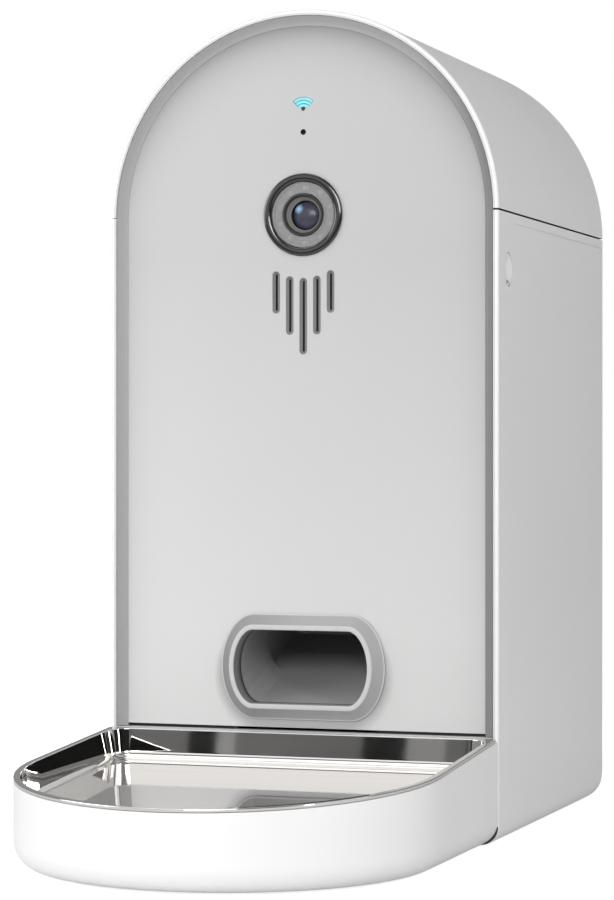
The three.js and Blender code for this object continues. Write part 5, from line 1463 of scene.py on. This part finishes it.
foot_curve = quarter(tray_radius - tray_round, tray_radius, foot, foot + tray_round, 10)
tray = tray_form("tray_tub", [*foot_curve, (tray_radius, rim_height + above)], tray_rear)
trim_above(tray, rim_drop)
round_edges(tray, (lambda middle, way: middle.z > rim_at(middle.y) - rim_drop - 0.1 * mm, rim_edge, 2))
well_curve = quarter(tray_radius - tray_round, inner_radius, well_floor, well_floor + tray_round, 8)
cut(tray, tray_form("well", [*well_curve, (inner_radius, rim_height + 2 * above)], tray_rear - tray_wall))

foot_x, foot_y = middle_of("tray_foot_right", X, Y)
pocket_radius = half_of("tray_foot_right", X) + clearance
pocket_top = foot + 0.8 * mm
tongue_x, tongue_half, tongue_edge = 45 * mm, 10 * mm, 0.6 * mm
tongue_y = (tray_rear - tray_wall / 2, front + 12 * mm)
tongue_z = (12 * mm, 18 * mm)
for side in (-1, 1):
    join(tray, box("tray_tongue", across(tongue_half, side * tongue_x), tongue_y, tongue_z, tongue_edge))
    cut(tray, rod("pocket", pocket_radius, foot - overrun, pocket_top, (side * foot_x, foot_y)))
place(clean(tray, 32), "tray", "white_shell", "tray_shell")

# %% [markdown]
# ## Steel bowl
# The bowl is pressed from thin polished sheet: a flange that laps over the tray's rim, a low wall, a generous round
# and an almost flat floor. One outline with rounded rear corners is inset again and again, each time a little lower,
# and the surface gets its thickness at the end.

# %% The well of the bowl, from the flange's inner edge down to the floor
bowl_rear = front - 1.8 * mm
steel = 0.9 * mm
flange = 2.8 * mm
rim_round = 0.45 * mm
rear_corner_radius = 9 * mm
rim_corner = 2 * mm
wall_drop = 9 * mm
floor_drop = 12.5 * mm
floor_slope = 0.0877
fillet = 4 * mm
wall_lean = 1.4 * mm


def bowl_face(name, inwards, corner_radius):
    """The outline seen from above at height 0, with rounded rear corners, as one face."""
    leg = bowl_rear - inwards - tray_middle
    piece = half_ring(name, tray_radius - inwards, (0, tray_middle, 0), Y, leg)
    pick_all()
    bpy.ops.mesh.edge_face_add()
    pick(piece, "VERT", from_on(Y, tray_middle + leg))
    bpy.ops.mesh.bevel(affect="VERTICES", offset=corner_radius, segments=10)
    pick_all("FACE")
    return piece


def quarter_rows(inwards, outwards, steps):
    """Rows of insets that follow a quarter round."""
    angles = [math.pi / 2 * step / steps for step in range(steps + 1)]
    return [
        (inwards * (math.cos(start) - math.cos(stop)), outwards * (math.sin(stop) - math.sin(start)))
        for start, stop in zip(angles, angles[1:])
    ]


bowl = bowl_face("steel_bowl_sheet", flange - 0.4 * mm, rear_corner_radius)
face_out()
if bmesh.from_edit_mesh(bowl.data).faces[:][0].normal.z < 0:
    bpy.ops.mesh.flip_normals()
inset((0.12 * mm, -0.03 * mm), (0.16 * mm, -0.12 * mm), (0.12 * mm, -0.25 * mm), (wall_lean, 0.4 * mm - wall_drop))
inset(*quarter_rows(fillet, wall_drop - floor_drop, 8), (1.2 * mm, -0.02 * mm))
deselect_all()
count(bowl, "as a bare well,")

# %% [markdown]
# ## The bowl's flange and slope
# The flange starts from a second, wider face, whose rim is rounded over by insets and whose middle and underside are
# taken away. The gap to the well is bridged. The floor is then tilted a little more than the rim, the whole sheet is
# turned to the slope of the rim, and a modifier gives it its thickness.

# %% The flange, the slopes and the thickness
flange_piece = bowl_face("flange", 0.0, rim_corner)
move(0, -flange_drop)
push(z=flange_drop - rim_round)
face_out()
pick(flange_piece, "FACE", both(from_on(Z, -rim_round), along(Z)))
inset(*quarter_rows(rim_round, rim_round, 4), (0.3 * mm, 0))
bpy.ops.mesh.delete(type="FACE")
pick(flange_piece, "FACE", up_to(Z, -flange_drop))
bpy.ops.mesh.delete(type="FACE")
deselect_all()

bowl = one_of(bowl, flange_piece)
edit(bowl)
bpy.ops.mesh.select_mode(type="EDGE")
bpy.ops.mesh.select_non_manifold(extend=False)
mesh = bmesh.from_edit_mesh(bowl.data)
for loose in mesh.edges:
    if any(corner.co.z < -tiny for corner in loose.verts):
        loose.select_set(False)
mesh.select_flush_mode()
bmesh.update_edit_mesh(bowl.data)
bpy.ops.mesh.bridge_edge_loops()
pick_all()
bpy.ops.mesh.remove_doubles(threshold=tiny)
face_out()

pick(bowl, "VERT", short_of(Z, -wall_drop))
rotate(-math.atan(floor_slope - rim_slope), (0, front, -wall_drop))
pick_all()
tilt = math.atan(rim_slope)
resize((1, 1 / math.cos(tilt), 1), (0, front, 0))
rotate(-tilt, (0, front, 0))
move(0, rim_height)
deselect_all()
apply_modifier(bowl, "SOLIDIFY", thickness=steel, offset=-1.0, use_even_offset=True)
place(clean(bowl, 40), "bowl", "bowl_steel", "steel_bowl")

# %% [markdown]
# ## Underside, feet and screws
# The body stands on rubber feet with a soft edge and a shallow dish below. A base plate with a row of vents closes
# it, held by four screws with a cross recess.

# %% Base plate, feet and screws
plate_edge = 0.5 * mm
base_plate = box("base_plate_skin", *spans_of("base_plate"))
round_edges(base_plate, (along(Z), plate_corner, 8), (up_to(Z, plate_low.z), plate_edge, 3))
vent_count, vent_pitch = 7, 6 * mm
vent_half_length, vent_half_width = 22 * mm, 1 * mm
vent_z = (plate_low.z - overrun, plate_low.z + 0.8 * mm)
plate_middle = middle_of("base_plate", Y)[0]
for index in range(vent_count):
    vent_middle = plate_middle + (index - (vent_count - 1) / 2) * vent_pitch
    cut(base_plate, box("vent", across(vent_half_length), across(vent_half_width, vent_middle), vent_z))
place(clean(base_plate), "chassis", "dark_plastic", "base_plate")

four = range(1, 5)
pad_edge, pad_rim = 0.4 * mm, 2 * mm
feet = [(f"body_foot_{index}", "chassis") for index in four]
for name, body in (*feet, ("tray_foot_left", "tray"), ("tray_foot_right", "tray")):
    low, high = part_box(name)
    pad = rod(f"{name}_pad", half_of(name, X), low.z, high.z, middle_of(name, X, Y), steps=48)
    edit(pad)
    face_out()
    pick(pad, "EDGE", up_to(Z, low.z))
    soften(pad_edge, 4)
    pick(pad, "FACE", lambda middle, normal: normal.z < -aligned and middle.z < low.z + tiny / 10)
    inset((pad_rim, 0), (0.3 * mm, -0.2 * mm))
    place(clean(pad), body, "foot_rubber", name)

head_height, head_edge = 1.4 * mm, 0.35 * mm
cross_long, cross_short = 0.9 * mm, 0.25 * mm
for name in (f"base_screw_{index}" for index in four):
    low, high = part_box(name)
    centre = middle_of(name, X, Y)
    head = high.x - centre[0]
    screw = rod(f"{name}_cross", head, low.z, low.z + head_height, centre, steps=40)
    edit(screw)
    pick(screw, "EDGE", up_to(Z, low.z))
    soften(head_edge, 3)
    pick(screw, "FACE", lambda middle, normal: normal.z > aligned)
    inset((head / 2, 0))
    push(z=high.z - low.z - head_height)
    for half_x, half_y in ((cross_long, cross_short), (cross_short, cross_long)):
        recess_z = (low.z - overrun, low.z + 0.8 * mm)
        cut(screw, box("recess", across(half_x, centre[0]), across(half_y, centre[1]), recess_z))
    place(clean(screw), "chassis", "plain_steel", name)

# %% [markdown]
# ## Back: battery door, power socket and reset button
# The door slides up over the cells and has three finger grooves. The socket is a round recess with a pin in its
# middle. The reset button is a small stepped stud.

# %% Battery door, power socket and reset button
door_corner, door_edge = 2 * mm, 0.4 * mm
battery_door = box("battery_door_skin", *spans_of("battery_door"))
round_edges(battery_door, (along(Y), door_corner, 5), (from_on(Y, door_high.y), door_edge, 3))
finger_pitch, finger_length, finger_half = 3 * mm, 17.8 * mm, 0.6 * mm
finger_round = 0.55 * mm
finger_y = (door_high.y - 0.6 * mm, door_high.y + overrun)
for index in range(3):
    level = door_high.z - finger_pitch * (index + 1)
    finger_groove = box("groove", across(finger_length), finger_y, across(finger_half, level))
    cut(battery_door, round_edges(finger_groove, (along(Y), finger_round, 5)))
place(clean(battery_door), "battery_cover", "white_shell", "battery_door")

inlet_low, inlet_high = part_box("power_inlet")
inlet_radius = half_of("power_inlet", X)
socket_radius = 2.85 * mm
pin_radius = 1 * mm
socket_floor = 173.6 * mm
pin_end = 179.6 * mm
socket_profile = [
    (inlet_radius, inlet_low.y),
    (inlet_radius, inlet_high.y - 0.4 * mm),
    (inlet_radius - 0.12 * mm, inlet_high.y - 0.12 * mm),
    (inlet_radius - 0.4 * mm, inlet_high.y),
    (socket_radius + 0.4 * mm, inlet_high.y),
    (socket_radius + 0.1 * mm, inlet_high.y - 0.12 * mm),
    (socket_radius, inlet_high.y - 0.4 * mm),
    (socket_radius, socket_floor),
    (pin_radius, socket_floor),
    (pin_radius, pin_end - 0.4 * mm),
    (pin_radius * 0.8, pin_end - 0.1 * mm),
    (pin_radius * 0.4, pin_end),
]
power_inlet = turned("power_socket", socket_profile, middle_of("power_inlet", X, Z), 64)
place(power_inlet, "chassis", "dark_plastic", "power_inlet")

reset_low, reset_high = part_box("reset_button")
reset_radius = half_of("reset_button", X)
stem_radius = reset_radius / 2
step_y = reset_high.y - 5 * mm
stud_profile = [
    (stem_radius, reset_low.y),
    (stem_radius, step_y),
    (reset_radius, step_y),
    (reset_radius, reset_high.y - 0.35 * mm),
    (reset_radius - 0.1 * mm, reset_high.y - 0.1 * mm),
    (reset_radius - 0.35 * mm, reset_high.y),
    (reset_radius * 0.75, reset_high.y),
    (reset_radius * 0.5, reset_high.y - 0.15 * mm),
    (reset_radius * 0.2, reset_high.y - 0.22 * mm),
]
reset_stud = turned("reset_stud", stud_profile, middle_of("reset_button", X, Z), 48)
place(reset_stud, "reset", "grey_trim", "reset_button")

# %% [markdown]
# ## Hinge pins
# Two short steel pins with rounded ends run through the barrels at the back of the lid.

# %% Hinge pins
pin_edge = 0.3 * mm
for end in ("left", "right"):
    name = f"hinge_pin_{end}"
    low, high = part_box(name)
    centre = middle_of(name, Y, Z)
    pin = rod(f"hinge_pin_rod_{end}", half_of(name, Z), low.x, high.x, centre, "X", edge=pin_edge, steps=32)
    place(clean(pin), "chassis", "plain_steel", name)

# %% [markdown]
# ## Floor and room
# The feeder stands on a pale floor in a white room, as on a product photograph. The floor is a thin slab with a
# cloudy tint. It gives a little light of its own, more towards the camera, so that it meets the white background
# without a horizon and keeps only a faint shadow.


# %% Floor and room
def cloudy(name, dark, light, scale, roughness):
    """A matt finish with a cloudy tint between two greys."""
    material = bpy.data.materials.new(name)
    material.use_nodes = True
    tree = material.node_tree
    shader = tree.nodes["Principled BSDF"]
    coords = tree.nodes.new("ShaderNodeTexCoord").outputs["Object"]
    tint = mixed(tree, spread(tree, noise(tree, coords, scale), 0.3, 0.7), opaque(dark), opaque(light))
    tree.links.new(tint, shader.inputs["Base Color"])
    shader.inputs["Roughness"].default_value = roughness
    return material, tree, shader, tint


def for_camera(tree, others, seen):
    """One value for what the camera sees, and another for the light that falls on things."""
    rays = tree.nodes.new("ShaderNodeLightPath")
    return spread(tree, rays.outputs["Is Camera Ray"], 0.0, 1.0, others, seen)


floor = box("floor_sheet", (-6.0, 6.0), (-4.0, 14.0), (-0.02, 0.0))
floor_material, tree, shader, tint = cloudy("pale_floor", 0.79, 0.81, 3.0, 0.7)
floor_glow, room_light = 0.05, 0.32
tree.links.new(tint, shader.inputs["Emission Color"])
tree.links.new(for_camera(tree, floor_glow, 1.0), shader.inputs["Emission Strength"])
floor.data.materials.append(floor_material)

world = bpy.data.worlds.new("white_room")
bpy.context.scene.world = world
world.use_nodes = True
background = world.node_tree.nodes["Background"]
world.node_tree.links.new(for_camera(world.node_tree, room_light, 1.0), background.inputs["Strength"])
background.inputs["Color"].default_value = (1, 1, 1, 1)
print("floor", floor.name, "and room", world.name)

# %% [markdown]
# ## Soft boxes
# Six soft boxes light the part. A wide one in front on the left fills the front and shows in the bowl's floor, a
# higher one draws the white band along the bowl's round, and a strong one further left models the tray. One above the
# camera lifts the front. On the right, a weak wide one serves the side and a narrow one draws the bright edge of the
# body.


# %% Soft boxes
def soft_box(name, azimuth, elevation, width, height, radiance, distance=1.6):
    """A rectangular light that faces the part. Azimuth 0 is in front, positive towards the right."""
    turn, lift = math.radians(azimuth), math.radians(elevation)
    aim = Vector((0, -0.05, 0.12))
    away = Vector((math.sin(turn) * math.cos(lift), -math.cos(turn) * math.cos(lift), math.sin(lift)))
    bpy.ops.object.light_add(type="AREA", location=aim + away * distance)
    lamp = bpy.context.object
    lamp.name = name
    lamp.data.shape = "RECTANGLE"
    lamp.data.size = width
    lamp.data.size_y = height
    lamp.data.energy = radiance * math.pi * width * height
    lamp.rotation_euler = away.to_track_quat("Z", "Y").to_euler()


soft_box("fill", -35, 20, 2.2, 0.6, 1.0)
soft_box("high", -45, 66, 1.4, 0.9, 1.6)
soft_box("key", -60, 16, 0.9, 0.8, 3.6)
soft_box("front", 8, 18, 0.7, 0.4, 11.0)
soft_box("right", 74, 27, 1.1, 0.8, 1.4)
soft_box("edge", 58, 12, 0.10, 1.2, 13.0)

# %% [markdown]
# ## Boards and screens
# Polished steel shows what stands round it. A row of grey boards behind the camera is what the bowl's back wall
# reflects as upright bars. Two dark screens, behind and to the right of the camera, keep the right end of the gloss
# parts dark. Boards and screens are hidden from the camera itself, so that they never stand in its way.

# %% Boards and screens
board_y = (-1.31, -1.3)
board_z = (0, 0.24)
board_left = -0.9
board_rows = (
    ("dark", -0.600), ("mid", -0.543), ("dark", -0.516), ("light", -0.499), ("mid", -0.381), ("dark", -0.341),
    ("light", -0.306), ("mid", -0.287), ("dark", -0.281), ("light", -0.230), ("dark", 0.800),
)
board_finish = {
    shade: cloudy(f"board_{shade}", value * 0.9, value * 1.1, 6.0, 0.9)[0]
    for shade, value in (("light", 0.38), ("mid", 0.18), ("dark", 0.008))
}
boards = []
for index, (shade, board_right) in enumerate(board_rows):
    boards.append(box(f"board_{index}", (board_left, board_right), board_y, board_z))
    boards[-1].data.materials.append(board_finish[shade])
    board_left = board_right
screen_z = (0, 0.6)
screens = [
    box("screen_behind", (-0.05, 1.8), (-1.76, -1.75), screen_z),
    box("screen_right", (1.79, 1.8), (-1.75, -0.1), screen_z),
]
for screen in screens:
    screen.data.materials.append(board_finish["dark"])
for board in (*boards, *screens):
    board.visible_camera = False
print(len(boards), "boards and", len(screens), "screens")

# %% [markdown]
# ## Camera
# The camera stands low in front, a little to the right, and looks straight ahead through a long lens. Its place, turn
# and lens were found by laying renders over the photograph until the outlines met.

# %% Camera
bpy.ops.object.camera_add(
    location=(0.4081, -1.2000, 0.1666), rotation=(math.radians(90), 0, math.radians(18.84))
)
camera = bpy.context.object
camera.data.lens = 117.5
camera.data.sensor_width = 36
bpy.context.scene.camera = camera
bpy.context.scene.view_settings.view_transform = "Standard"
print("camera at", [round(value, 3) for value in camera.location], "with a lens of", camera.data.lens, "mm")
